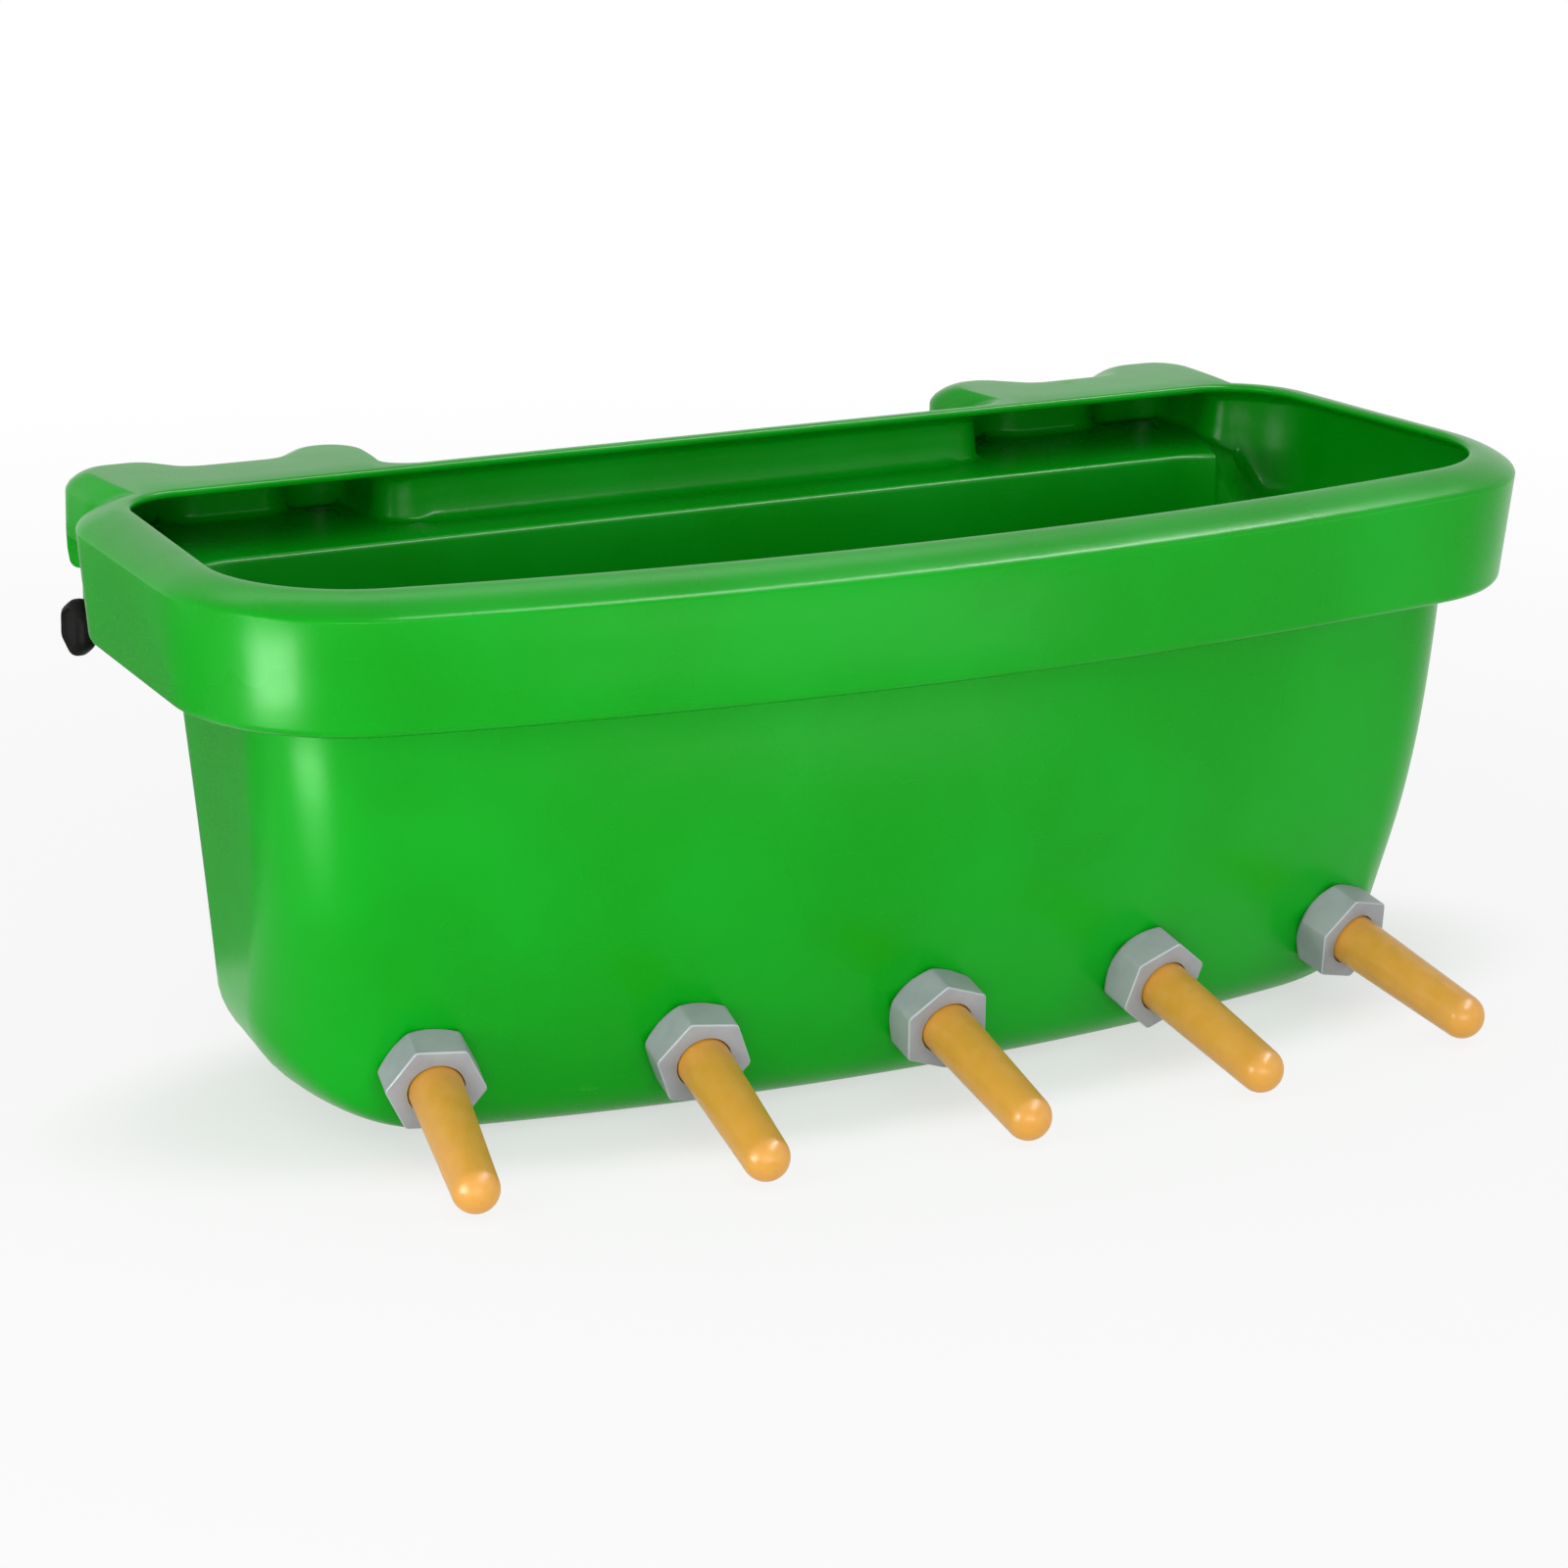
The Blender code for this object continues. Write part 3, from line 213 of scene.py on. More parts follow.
def eased(corners, radii, steps=5):
    """A closed (radius, height) polygon whose corners are quadratic curves that start and
    end the given distance along their two sides, at most 45% of each."""
    p = np.array(corners, float)
    a, b = np.roll(p, 1, 0) - p, np.roll(p, -1, 0) - p
    la, lb = np.linalg.norm(a, axis=1), np.linalg.norm(b, axis=1)
    reach = np.minimum(np.array(radii, float), ROUND_SHARE * np.minimum(la, lb))
    start, end = p + a * (reach / la)[:, None], p + b * (reach / lb)[:, None]
    s = np.linspace(0, 1, steps + 1)[None, :, None]
    curve = start[:, None] * (1 - s) ** 2 + p[:, None] * 2 * s * (1 - s) + end[:, None] * s ** 2
    return curve.reshape(-1, 2)


def circle(steps):
    """Equal angles once round."""
    return np.arange(steps) * 2 * pi / steps


def rings(angle, rows):
    """A ring of points for each (radius, height), where a radius is one number or one for
    each angle: x = r cos a, y = r sin a."""
    return np.stack([np.stack([r * np.cos(angle), r * np.sin(angle), z + 0 * angle], -1)
                     for r, z in rows])


def turned(profile, steps):
    """A (radius, height) profile carried round Z."""
    return rings(circle(steps), profile)


def mirrored(ring):
    """A half ring and its mirror image in X, which share their first and last points."""
    return np.vstack([ring, ring[-2:0:-1] * np.array([-1.0, 1.0, 1.0])])


def hexagon(angle, flats, turn, sharpness):
    """Distance from the axis to a hexagon with rounded corners: half the width across flats
    over the power mean of the six facing cosines. Corners stand at turn and every 60 degrees."""
    faces = turn + pi / 6 + np.arange(6) * pi / 3
    facing = np.maximum(np.cos(angle[:, None] - faces), 0.0)
    return flats / 2 / (facing ** sharpness).sum(1) ** (1 / sharpness)


def ridge(phase):
    """A triangle wave from 0 to 1 with the given phase in turns."""
    return 1 - np.abs(2 * (phase % 1.0) - 1)


def smooth(t):
    """0 below 0, 1 above 1, and 3 t^2 - 2 t^3 between."""
    t = np.clip(t, 0.0, 1.0)
    return t * t * (3.0 - 2.0 * t)


# Finishes


class Value:
    """A shader socket that takes part in Python arithmetic, one Math node an operator."""

    def __init__(self, paint, socket):
        self.paint = paint
        self.socket = socket

    def _join(self, operation, other, flip=False):
        pair = (other, self) if flip else (self, other)
        return self.paint.add("ShaderNodeMath", {"operation": operation}, *pair)

    def __add__(self, other):
        return self._join("ADD", other)

    def __sub__(self, other):
        return self._join("SUBTRACT", other)

    def __mul__(self, other):
        return self._join("MULTIPLY", other)

    def __radd__(self, other):
        return self._join("ADD", other, True)

    def __rsub__(self, other):
        return self._join("SUBTRACT", other, True)

    def __rmul__(self, other):
        return self._join("MULTIPLY", other, True)

    def over(self, low, high):
        """0 below low, 1 above high, smooth between."""
        settings = {"interpolation_type": "SMOOTHSTEP"}
        return self.paint.add("ShaderNodeMapRange", settings, self, low, high)


class Nodes:
    """A node tree that grows by one method."""

    def __init__(self, tree):
        self.tree = tree

    def add(self, kind, settings, *values, out=0, first=0, **named):
        """Add a node: its settings, then the values or links of its sockets, in order from
        the first or by name."""
        node = self.tree.nodes.new(kind)
        for key, value in settings.items():
            setattr(node, key, value)
        pairs = list(enumerate(values, first))
        pairs += [(key.replace("_", " "), value) for key, value in named.items()]
        for key, value in pairs:
            if isinstance(value, Value):
                self.tree.links.new(value.socket, node.inputs[key])
            else:
                node.inputs[key].default_value = value
        return Value(self, node.outputs[out])

    def seen(self):
        """1 for rays from the camera, mirrors and glass, 0 for the rest."""
        names = ("Is Camera Ray", "Is Glossy Ray", "Is Transmission Ray")
        camera, glossy, glass = [self.add("ShaderNodeLightPath", {}, out=n) for n in names]
        either = self.add("ShaderNodeMath", {"operation": "MAXIMUM"}, camera, glossy)
        return self.add("ShaderNodeMath", {"operation": "MAXIMUM"}, either, glass)


class Paint(Nodes):
    """One finish: a material with its Principled shader."""

    def __init__(self, name, **constants):
        self.material = bpy.data.materials.new(name)
        self.material.use_nodes = True
        self.material["slot"] = name
        super().__init__(self.material.node_tree)
        self.shader = self.tree.nodes["Principled BSDF"]
        for key, value in constants.items():
            self.shader.inputs[key.replace("_", " ")].default_value = value
        self.place = self.add("ShaderNodeTexCoord", {}, out="Object")

    def noise(self, scale, detail=2.0, stretch=(1.0, 1.0, 1.0), roughness=0.5):
        """Noise of a scale in cycles a metre, stretched by an axis's share."""
        at = self.add("ShaderNodeMapping", {}, Vector=self.place, Scale=stretch)
        return self.add("ShaderNodeTexNoise", {}, Vector=at, Scale=scale, Detail=detail,
                        Roughness=roughness)

    def blend(self, mask, low, high):
        """A colour between two, by a mask."""
        pair = [c if isinstance(c, Value) else (*c, 1.0) for c in (low, high)]
        return self.add("ShaderNodeMix", {"data_type": "RGBA"}, *pair, first=6, out=2,
                        Factor=mask)

    def bump(self, height, distance, under=None):
        """A normal from a height in shares of a distance in metres, over another normal."""
        named = {"Height": height, "Distance": distance, "Strength": 1.0}
        if under:
            named["Normal"] = under
        return self.add("ShaderNodeBump", {}, **named)

    def feed(self, **values):
        """Link values to the shader's sockets, and give the finished material."""
        for key, value in values.items():
            self.tree.links.new(value.socket, self.shader.inputs[key.replace("_", " ")])
        return self.material


GREEN, PALE_GREEN, DUSTY_GREEN = (0.0, 0.325, 0.004), (0.0, 0.375, 0.010), (0.05, 0.45, 0.08)
# EDGE_HIGHLIGHT_GREY is a painted highlight: the pale line along the nuts' front bevels
SCUFFED_GREEN, EDGE_HIGHLIGHT_GREY = (0.14, 0.52, 0.17), (0.62, 0.65, 0.66)
AMBER, PALE_AMBER, MILKY_AMBER = (0.62, 0.305, 0.036), (0.74, 0.355, 0.052), (0.86, 0.42, 0.10)
STEEL, STAINED_STEEL = (0.60, 0.60, 0.58), (0.46, 0.45, 0.43)
RUBBER_DEPTH = (1.0, 0.45, 0.12)


def green_polyethylene():
    """Moulded polyethylene: clouded green, orange-peel surface, fine scuffs and dust."""
    p = Paint("green_polyethylene", Specular_IOR_Level=0.17)
    cloud = p.noise(7.0, 3.0).over(0.35, 0.68)
    speck = p.noise(900.0, 2.0).over(0.68, 0.78)
    scuff = p.noise(24.0, 4.0, (1.0, 1.0, 5.0), 0.7).over(0.62, 0.80)
    scratch = p.noise(150.0, 2.0, (0.05, 0.05, 1.0)).over(0.68, 0.74) * scuff
    base = p.blend(cloud, GREEN, PALE_GREEN)
    base = p.blend(speck * 0.15, base, DUSTY_GREEN)
    base = p.blend(scratch * 0.25, base, SCUFFED_GREEN)
    peel = p.noise(260.0, 2.0)
    wave = p.noise(28.0, 1.0)
    rough = 0.26 + cloud * 0.04 + scuff * 0.10 + speck * 0.10
    normal = p.bump(wave, 0.0004)
    normal = p.bump(peel, 0.00006, normal)
    return p.feed(Base_Color=base, Roughness=rough, Normal=normal)


def teat_rubber():
    """Amber rubber: mottled, a little darker towards the nut, with a soft shine."""
    p = Paint("teat_rubber", Specular_IOR_Level=0.4, Subsurface_Weight=0.25,
              Subsurface_Scale=0.004, Subsurface_Radius=RUBBER_DEPTH)
    along = p.add("ShaderNodeAttribute", {"attribute_name": "along"}, out="Fac")
    mottle = p.noise(110.0, 4.0).over(0.35, 0.68)
    base = p.blend(along, AMBER, PALE_AMBER)
    base = p.blend(mottle * 0.20, base, MILKY_AMBER)
    skin = p.noise(700.0, 2.0)
    dents = p.noise(60.0, 2.0)
    normal = p.bump(skin, 0.00004, p.bump(dents, 0.0003))
    return p.feed(Base_Color=base, Roughness=0.30 + mottle * 0.12, Normal=normal)


# Each moulded plastic's dark and pale colour, roughness, grain height in metres and gloss
PLASTICS = {
    "nut_plastic": ((0.295, 0.310, 0.340), (0.365, 0.380, 0.410), 0.38, 0.00003, 0.35),
    "valve_plastic": ((0.68, 0.69, 0.66), (0.77, 0.78, 0.75), 0.32, 0.00002, 0.5),
    "black_plastic": ((0.007, 0.007, 0.006), (0.013, 0.012, 0.012), 0.42, 0.00004, 0.04),
    "seal_rubber": ((0.016, 0.016, 0.016), (0.030, 0.030, 0.030), 0.60, 0.00005, 0.3)}


def moulded_plastic(name, dark, pale, rough, grain, gloss):
    """Injection-moulded plastic: slight flow clouds, an even fine grain and a painted edge
    highlight.
    """
    p = Paint(name, Specular_IOR_Level=gloss)
    cloud = p.noise(38.0, 3.0).over(0.3, 0.7)
    fleck = p.noise(1500.0, 2.0)
    base = p.blend(cloud, dark, pale)
    bright = tuple(min(1.0, c * 1.3) for c in pale)
    base = p.blend(fleck.over(0.62, 0.75) * 0.15, base, bright)
    # Painted highlight: where the edge attribute is set (the nuts' front bevel), the colour pales
    # towards grey
    edge = p.add("ShaderNodeAttribute", {"attribute_name": "edge"}, out="Fac")
    base = p.blend(edge * 0.55, base, EDGE_HIGHLIGHT_GREY)
    normal = p.bump(fleck, grain)
    return p.feed(Base_Color=base, Roughness=rough + cloud * 0.08, Normal=normal)


def bright_steel():
    """Turned stainless steel: fine rings round the spindle, slight oil stain."""
    p = Paint("bright_steel", Metallic=1.0)
    rings = p.noise(2600.0, 2.0, (1.0, 0.04, 0.04))
    stain = p.noise(60.0, 3.0).over(0.4, 0.75)
    base = p.blend(stain, STEEL, STAINED_STEEL)
    normal = p.bump(rings, 0.00002)
    return p.feed(Base_Color=base, Roughness=0.22 + stain * 0.12 + rings * 0.06, Normal=normal)


# The one-piece shell


def lip_sizes(outward):
    """The lip's outline, moved outwards."""
    return (HALF_FRONT + outward, HALF_BACK + outward, FRONT_LIP - outward, BACK_LIP + outward,
            RIM_BOW, LIP_CORNER_FRONT + outward, LIP_CORNER_BACK + outward)


def outline_frame(half_front, half_back, y_front, y_back, bow, front_radius, back_radius):
    """Arcs of a plain outline: a bowed front, straight ends, a straight back, and corner
    arcs that touch both neighbours."""
    bow_centre = np.array([0.0, y_front + bow])
    start = np.array([half_front, y_front + bow - sqrt(bow * bow - half_front * half_front)])
    along = np.array([half_back, y_back]) - start
    along /= np.linalg.norm(along)
    normal = np.array([along[1], -along[0]])
    reach = normal @ start
    rel = normal * (reach - front_radius) - bow_centre
    b = rel @ along
    c = rel @ rel - (bow - front_radius) ** 2
    front_centre = bow_centre + rel + along * (-b - sqrt(b * b - c))
    away = front_centre - bow_centre
    back_y = y_back - back_radius
    back_x = (reach - back_radius - normal[1] * back_y) / normal[0]
    return {"bow_centre": bow_centre, "bow": bow, "normal": normal,
            "front_centre": front_centre, "front_radius": front_radius,
            "back_centre": np.array([back_x, back_y]), "back_radius": back_radius,
            "a0": atan2(away[1], away[0]), "a1": atan2(normal[1], normal[0])}


def round_path(corners, radii):
    """Points and outward normals along a path with rounded inner corners, at an even
    spacing: straight runs and arcs are sampled finely, then read at equal lengths."""
    points, normals = [], []
    for before, corner, after, radius in zip(corners, corners[1:], corners[2:], radii):
        into = (corner - before) / np.linalg.norm(corner - before)
        out = (after - corner) / np.linalg.norm(after - corner)
        turn = atan2(into[0] * out[1] - into[1] * out[0], into @ out)
        side = 1.0 if turn > 0 else -1.0
        start = corner - into * radius * tan(abs(turn) / 2)
        centre = start + side * radius * np.array([-into[1], into[0]])
        first = atan2(start[1] - centre[1], start[0] - centre[0])
        angle = first + turn * np.linspace(0, 1, PATH_POINTS)
        ray = np.stack([np.cos(angle), np.sin(angle)], -1)
        points.append(centre + radius * ray)
        normals.append(side * ray)
    points, normals = np.concatenate(points), np.concatenate(normals)
    length = np.concatenate([[0], np.cumsum(np.linalg.norm(np.diff(points, axis=0), axis=1))])
    keep = np.concatenate([[True], np.diff(length) > TINY])
    points, normals, length = points[keep], normals[keep], length[keep]
    at = np.linspace(0, length[-1], round(length[-1] / HOOK_SPACING) + 1)
    points = np.stack([np.interp(at, length, points[:, k]) for k in range(2)], -1)
    normals = np.stack([np.interp(at, length, normals[:, k]) for k in range(2)], -1)
    return points, normals / np.linalg.norm(normals, axis=1)[:, None]


def hook_outline(band, angle):
    """The hook in plan: two prongs past a lower middle, each flank in a fillet on the band."""
    ray = np.array([cos(angle), sin(angle)])
    start = band["back_centre"] + band["back_radius"] * ray
    forward = np.array([-ray[1], ray[0]])
    flank = start + forward * (start[0] - HOOK_OUTER) / ray[1]
    outer_end, inner_end = HOOK_OUTER - HOOK_OUTER_PRONG, HOOK_INNER + HOOK_INNER_PRONG
    back = BACK_LIP
    corners = [
        start, flank, (HOOK_OUTER, back + HOOK_REACH_OUTER), (outer_end, back + HOOK_REACH_OUTER),
        (outer_end - HOOK_PRONG_SLOPE, back + HOOK_REACH_MIDDLE),
        (inner_end + HOOK_PRONG_SLOPE, back + HOOK_REACH_MIDDLE),
        (inner_end, back + HOOK_REACH_INNER), (HOOK_INNER, back + HOOK_REACH_INNER),
        (HOOK_INNER, back + BAND_FACE), (0.0, back + BAND_FACE)]
    radii = [HOOK_FOOT_OUTER, HOOK_CORNER, HOOK_SHOULDER_ROUND, HOOK_WAIST_ROUND,
             HOOK_WAIST_ROUND, HOOK_SHOULDER_ROUND, HOOK_CORNER, HOOK_FOOT_INNER]
    return round_path([np.array(c) for c in corners], radii)


class Columns:
    """Each column's stretch of the outline (front bow, front corner, end, back corner, back
    line to the hook's root, rest) and its share t of it, with the hook's own outline. A
    hook's column runs level to the wall from its own x, so that no two of them cross."""

    def __init__(self):
        band = outline_frame(*lip_sizes(BAND_FACE))
        across = HOOK_OUTER + HOOK_FOOT_OUTER - band["back_centre"][0]
        angle = acos(across / (band["back_radius"] + HOOK_FOOT_OUTER))
        foot = (angle - band["a1"]) / (pi / 2 - band["a1"])
        self.hook_path, self.hook_normals = hook_outline(band, angle)
        corner = outline_frame(*tub_sizes(tub_levels()[0], 0.0))["back_centre"][0]
        inset = self.hook_path - self.hook_normals * BRIDGE_SKIRT
        x = np.minimum.accumulate(inset[:, 0])
        turn = int(np.argmax(x < corner))
        even = (np.arange(len(x)) - turn) / (len(x) - 1 - turn)
        level = (corner - x) / (corner - HOOK_ROOT)
        line = (1 - EVEN_SHARE) * level + EVEN_SHARE * even
        hook_stretch = np.where(x < corner, 4, 3)
        hook_t = np.where(x < corner, line, foot + (1 - foot) * np.arange(len(x)) / turn)

        def run(stretch, count, most=1.0):
            return np.full(count, stretch), most * np.arange(count) / count

        parts = [run(0, FRONT_COLUMNS), run(1, CORNER_COLUMNS), run(2, END_COLUMNS),
                 run(3, CORNER_COLUMNS, foot), (hook_stretch, hook_t),
                 (np.full(BACK_COLUMNS, 5), np.arange(1, BACK_COLUMNS + 1) / BACK_COLUMNS)]
        self.first = sum(len(p[0]) for p in parts[:4])
        self.hook = slice(self.first, self.first + len(x))
        self.stretch = np.concatenate([p[0] for p in parts])
        self.t = np.concatenate([p[1] for p in parts])


def plain_outline(columns, sizes):
    """Plan points and outward normals of one half of a plain outline, at the columns."""
    f = outline_frame(*sizes)
    t = columns.t

    def arc(centre, radius, angle):
        ray = np.stack([np.cos(angle), np.sin(angle)], -1)
        return centre + radius * ray, ray

    bow = arc(f["bow_centre"], f["bow"], -pi / 2 + (f["a0"] + pi / 2) * t)
    front = arc(f["front_centre"], f["front_radius"], f["a0"] + (f["a1"] - f["a0"]) * t)
    back = arc(f["back_centre"], f["back_radius"], f["a1"] + (pi / 2 - f["a1"]) * t)
    end_a = f["front_centre"] + f["front_radius"] * f["normal"]
    end_b = f["back_centre"] + f["back_radius"] * f["normal"]
    end = end_a + (end_b - end_a) * t[:, None]
    corner_x = f["back_centre"][0]
    line_y = np.full_like(t, f["back_centre"][1] + f["back_radius"])
    line = np.stack([corner_x + (HOOK_ROOT - corner_x) * t, line_y], -1)
    rest = np.stack([HOOK_ROOT * (1 - t), line_y], -1)
    level = np.zeros_like(line)
    level[:, 1] = 1.0
    side = np.broadcast_to(f["normal"], end.shape)
    each = np.arange(len(t))
    points = np.stack([bow[0], front[0], end, back[0], line, rest])[columns.stretch, each]
    normals = np.stack([bow[1], front[1], side, back[1], level, level])[columns.stretch, each]
    return points, normals


def front_profile(depth):
    """How far the front wall has moved in: its slope grows with the square of the depth
    down to the teats' tilt, and stays there."""
    steep = tan(TEAT_TILT)
    curved = min(depth, FRONT_CURVE_DEPTH)
    gain = (steep - FRONT_TOP_SLOPE) * curved ** 3 / (3 * FRONT_CURVE_DEPTH ** 2)
    return FRONT_TOP_SLOPE * curved + gain + steep * (depth - curved)


def front_slope(depth):
    """The slope of front_profile at a depth."""
    share = min(depth / FRONT_CURVE_DEPTH, 1.0)
    return FRONT_TOP_SLOPE + (tan(TEAT_TILT) - FRONT_TOP_SLOPE) * share ** 2


def tub_levels():
    """Levels of the wall and of its rounding into the floor: insets, heights and the way
    from the outer to the inner skin, each for end, front and back."""
    end_angle = atan(END_LEAN / (HEIGHT - BAND_DROP - END_ROUND_RISE))
    back_angle = atan(BACK_LEAN / (HEIGHT - BACK_BAND_DROP - BACK_ROUND))
    starts = (END_ROUND_RISE, FRONT_ROUND * (1 - sin(TEAT_TILT)),
              BACK_ROUND * (1 - sin(back_angle)))
    front_depth = HEIGHT - BAND_DROP - starts[1]
    levels = []
    for depth in np.linspace(0, front_depth, WALL_ROWS):
        u = depth / front_depth
        tilts = (end_angle, atan(front_slope(depth)), back_angle)
        levels.append(((END_LEAN * u, front_profile(depth), BACK_LEAN * u), starts, u, 0.0, tilts))
    for k in range(1, FLOOR_ROWS + 1):
        v = k / FLOOR_ROWS
        end_q = pi / 2 * v
        front_q = TEAT_TILT + (pi / 2 - TEAT_TILT) * v
        back_q = back_angle + (pi / 2 - back_angle) * v
        insets = (END_LEAN + END_ROUND_REACH * (1 - cos(end_q)),
                  front_profile(front_depth) + FRONT_ROUND * (cos(TEAT_TILT) - cos(front_q)),
                  BACK_LEAN + BACK_ROUND * (cos(back_angle) - cos(back_q)))
        heights = (END_ROUND_RISE * (1 - sin(end_q)), FRONT_ROUND * (1 - sin(front_q)),
                   BACK_ROUND * (1 - sin(back_q)))
        tilts = (atan2(END_ROUND_REACH * sin(end_q), END_ROUND_RISE * cos(end_q)), front_q, back_q)
        levels.append((insets, heights, 1.0, 1 - cos(end_q), tilts))
    return levels


def tub_sizes(level, inside):
    """The tub wall's plain outline at a level, its corners tightening towards the floor."""
    insets, _, _, floor, tilts = level
    end, front, back = [i + inside * cos(q) for i, q in zip(insets, tilts)]
    front_corner = TUB_CORNER_FRONT + (FLOOR_CORNER - TUB_CORNER_FRONT) * floor
    back_corner = TUB_CORNER_BACK + (FLOOR_CORNER - TUB_CORNER_BACK) * floor
    return (HALF_FRONT - END_STEP - end, HALF_BACK - END_STEP - end,
            FRONT_LIP + FRONT_STEP + front, BACK_LIP - END_STEP - back, TUB_BOW - inside,
            front_corner - inside, back_corner - inside)


def by_side(values, normals):
    """Values for end, front and back, blended by where each column's wall faces."""
    y2 = normals[:, 1] ** 2
    front = normals[:, 1] < 0
    return values[0] * normals[:, 0] ** 2 + np.where(front, values[1], values[2]) * y2


def lift(points, height):
    """Plan points at a height, or at one height each."""
    return np.column_stack([points, np.broadcast_to(height, len(points))])


def tub_ring(columns, level, ceiling, inside):
    """One ring of the tub wall: the level's share of the way from the ceiling to where the
    wall's rounding starts, moved inwards along the wall's own tilt."""
    points, normals = plain_outline(columns, tub_sizes(level, inside))
    height = ceiling + (by_side(level[1], normals) - ceiling) * level[2]
    return lift(points, height + inside * by_side([sin(q) for q in level[4]], normals))


def round_corner(before, corner, after, radius, steps, reach=0.0):
    """Rings that round a corner of the section: a rational quadratic arc that touches both
    sides, for all columns at once. A reach makes it start further back on the first side,
    and slants it."""
    a, b = before - corner, after - corner
    la, lb = np.linalg.norm(a, axis=1), np.linalg.norm(b, axis=1)
    a, b = a / la[:, None], b / lb[:, None]
    half = np.arccos(np.clip(-(a * b).sum(1), -1.0, 1.0)) / 2
    most = ROUND_SHARE * np.minimum(la, lb)
    length = np.clip(radius * np.tan(half), np.minimum(ROUND_LEAST, most), most)[:, None]
    start = np.maximum(length, np.minimum(reach, CROWN_SHARE * la)[:, None])
    weight = np.cos(half)[:, None] * (CROWN_FULLNESS if reach else 1.0)
    s = np.linspace(0, 1, steps + 1)[:, None, None]
    first, middle, last = (1 - s) ** 2, 2 * s * (1 - s) * weight, s ** 2
    return list(corner + (a * start * first + b * length * last) / (first + middle + last))


def between(first, second, count):
    """Rings at equal steps between two rings."""
    return [first + (second - first) * k / (count + 1) for k in range(1, count + 1)]


def raised_share(columns, rim):
    """0 where the band is deep, 1 behind the back line and in the hooks, smooth between."""
    band = outline_frame(*lip_sizes(BAND_FACE))
    rel = rim - band["back_centre"]
    angle = np.arctan2(rel[:, 1], rel[:, 0])
    start_y = band["back_centre"][1] + band["back_radius"] * sin(BLOCK_END_ANGLE)
    share = smooth((rim[:, 1] - start_y) / (BACK_LIP + BAND_FACE - start_y))
    share[columns.stretch < 3] = 0.0
    share[:columns.first] *= angle[:columns.first] > BLOCK_END_ANGLE
    share[columns.first + int(np.argmax(share[columns.first:] >= FULL)):] = 1.0
    return share


def section(columns, inside):
    """Rings of one skin for x >= 0, from the lip over the rim, down the band, round its foot
    or the finger's, up to the step and down the tub wall to the floor."""
    lip = plain_outline(columns, lip_sizes(WALL / 2))[0]
    rim, normals = plain_outline(columns, lip_sizes(BAND_FACE))
    rim[columns.hook] = columns.hook_path
    normals[columns.hook] = columns.hook_normals
    finger = np.zeros(len(rim))
    reach = rim[columns.hook, 1] - BACK_LIP - HOOK_REACH_MIDDLE
    finger[columns.hook] = smooth((reach - FINGER_START) / (FINGER_FULL - FINGER_START))
    raised = raised_share(columns, rim)
    ceiling = BAND_DROP + (BACK_BAND_DROP - BAND_DROP) * raised
    foot = ceiling + (FINGER_DROP - ceiling) * finger
    levels = tub_levels()
    wall_top = plain_outline(columns, tub_sizes(levels[0], 0.0))[0]
    skirt = BAND_SKIRT_SHARE * np.linalg.norm(rim - wall_top, axis=1)
    skirt[columns.hook] = BRIDGE_SKIRT
    skirt = skirt + (FINGER_THICK - inside - skirt) * finger

    draft = np.full(len(rim), BAND_DRAFT)
    draft[columns.hook] *= 1 - smooth((rim[columns.hook, 1] - BACK_LIP - BAND_FACE) / FLANK_EASE)

    def inward(distance, height):
        return lift(rim - normals * np.reshape(distance, (-1, 1)), height)

    top, roof = HEIGHT - inside, HEIGHT - ceiling + inside
    corners = [lift(lip, top), inward(inside, top),
               inward(inside + draft * foot, HEIGHT - foot + inside),
               inward(skirt, HEIGHT - foot + inside), inward(skirt + FINGER_DRAFT, roof),
               lift(plain_outline(columns, tub_sizes(levels[0], inside))[0], roof),
               tub_ring(columns, levels[2], HEIGHT - ceiling, inside)]
    step, foot_round = BAND_STEP_ROUND, BAND_FOOT_ROUND
    if inside:
        step = INNER_CORNER_ROUND + (INNER_STEP_ROUND - INNER_CORNER_ROUND) * raised
        foot_round = INNER_CORNER_ROUND + (INNER_FOOT_FILLET - INNER_CORNER_ROUND) * raised
    rounds = [(RIM_ROUND - inside, RIM_ROWS, CROWN_REACH - inside),
              (foot_round, FOOT_ROWS, 0.0), (FINGER_FOOT_ROUND, FLAT_ROWS, 0.0),
              (FINGER_FOOT_ROUND, FLAT_ROWS, 0.0), (step, STEP_ROWS, 0.0)]
    skin = [corners[0]]
    for k, (radius, steps, reach) in enumerate(rounds):
        arc = round_corner(*corners[k:k + 3], radius, steps, reach)
        skin += between(skin[-1], arc[0], FLAT_ROWS) + arc
    skin += [tub_ring(columns, level, HEIGHT - ceiling, inside) for level in levels[2:]]
    return np.stack([mirrored(ring) for ring in skin])


def seat_frames():
    """Each station's seat centre on the front wall and its outward direction."""
    y_middle = FRONT_LIP + FRONT_STEP + front_profile(HEIGHT - BAND_DROP - SEAT_HEIGHT)
    x = (np.arange(STATIONS) - (STATIONS - 1) / 2) * STATION_PITCH
    fan = np.arcsin(x / TUB_BOW)
    seats = np.stack([x, y_middle + TUB_BOW * (1 - np.cos(fan)), 0 * x + SEAT_HEIGHT], -1)
    out = np.stack([np.sin(fan) * cos(TEAT_TILT), -np.cos(fan) * cos(TEAT_TILT),
                    0 * x - sin(TEAT_TILT)], -1)
    return list(zip(seats, out))


def flatten_seats(grid, depth):
    """Move the wall round each seat onto a plane square to the station's axis."""
    for seat, out in seat_frames():
        rel = grid - (seat - out * depth)
        height = rel @ out
        radius = np.linalg.norm(rel - height[..., None] * out, axis=2)
        weight = 1 - smooth((radius - SEAT_FLAT) / (SEAT_BLEND - SEAT_FLAT))
        grid = grid - (height * weight * (np.abs(height) < SEAT_DEPTH))[..., None] * out
    return grid


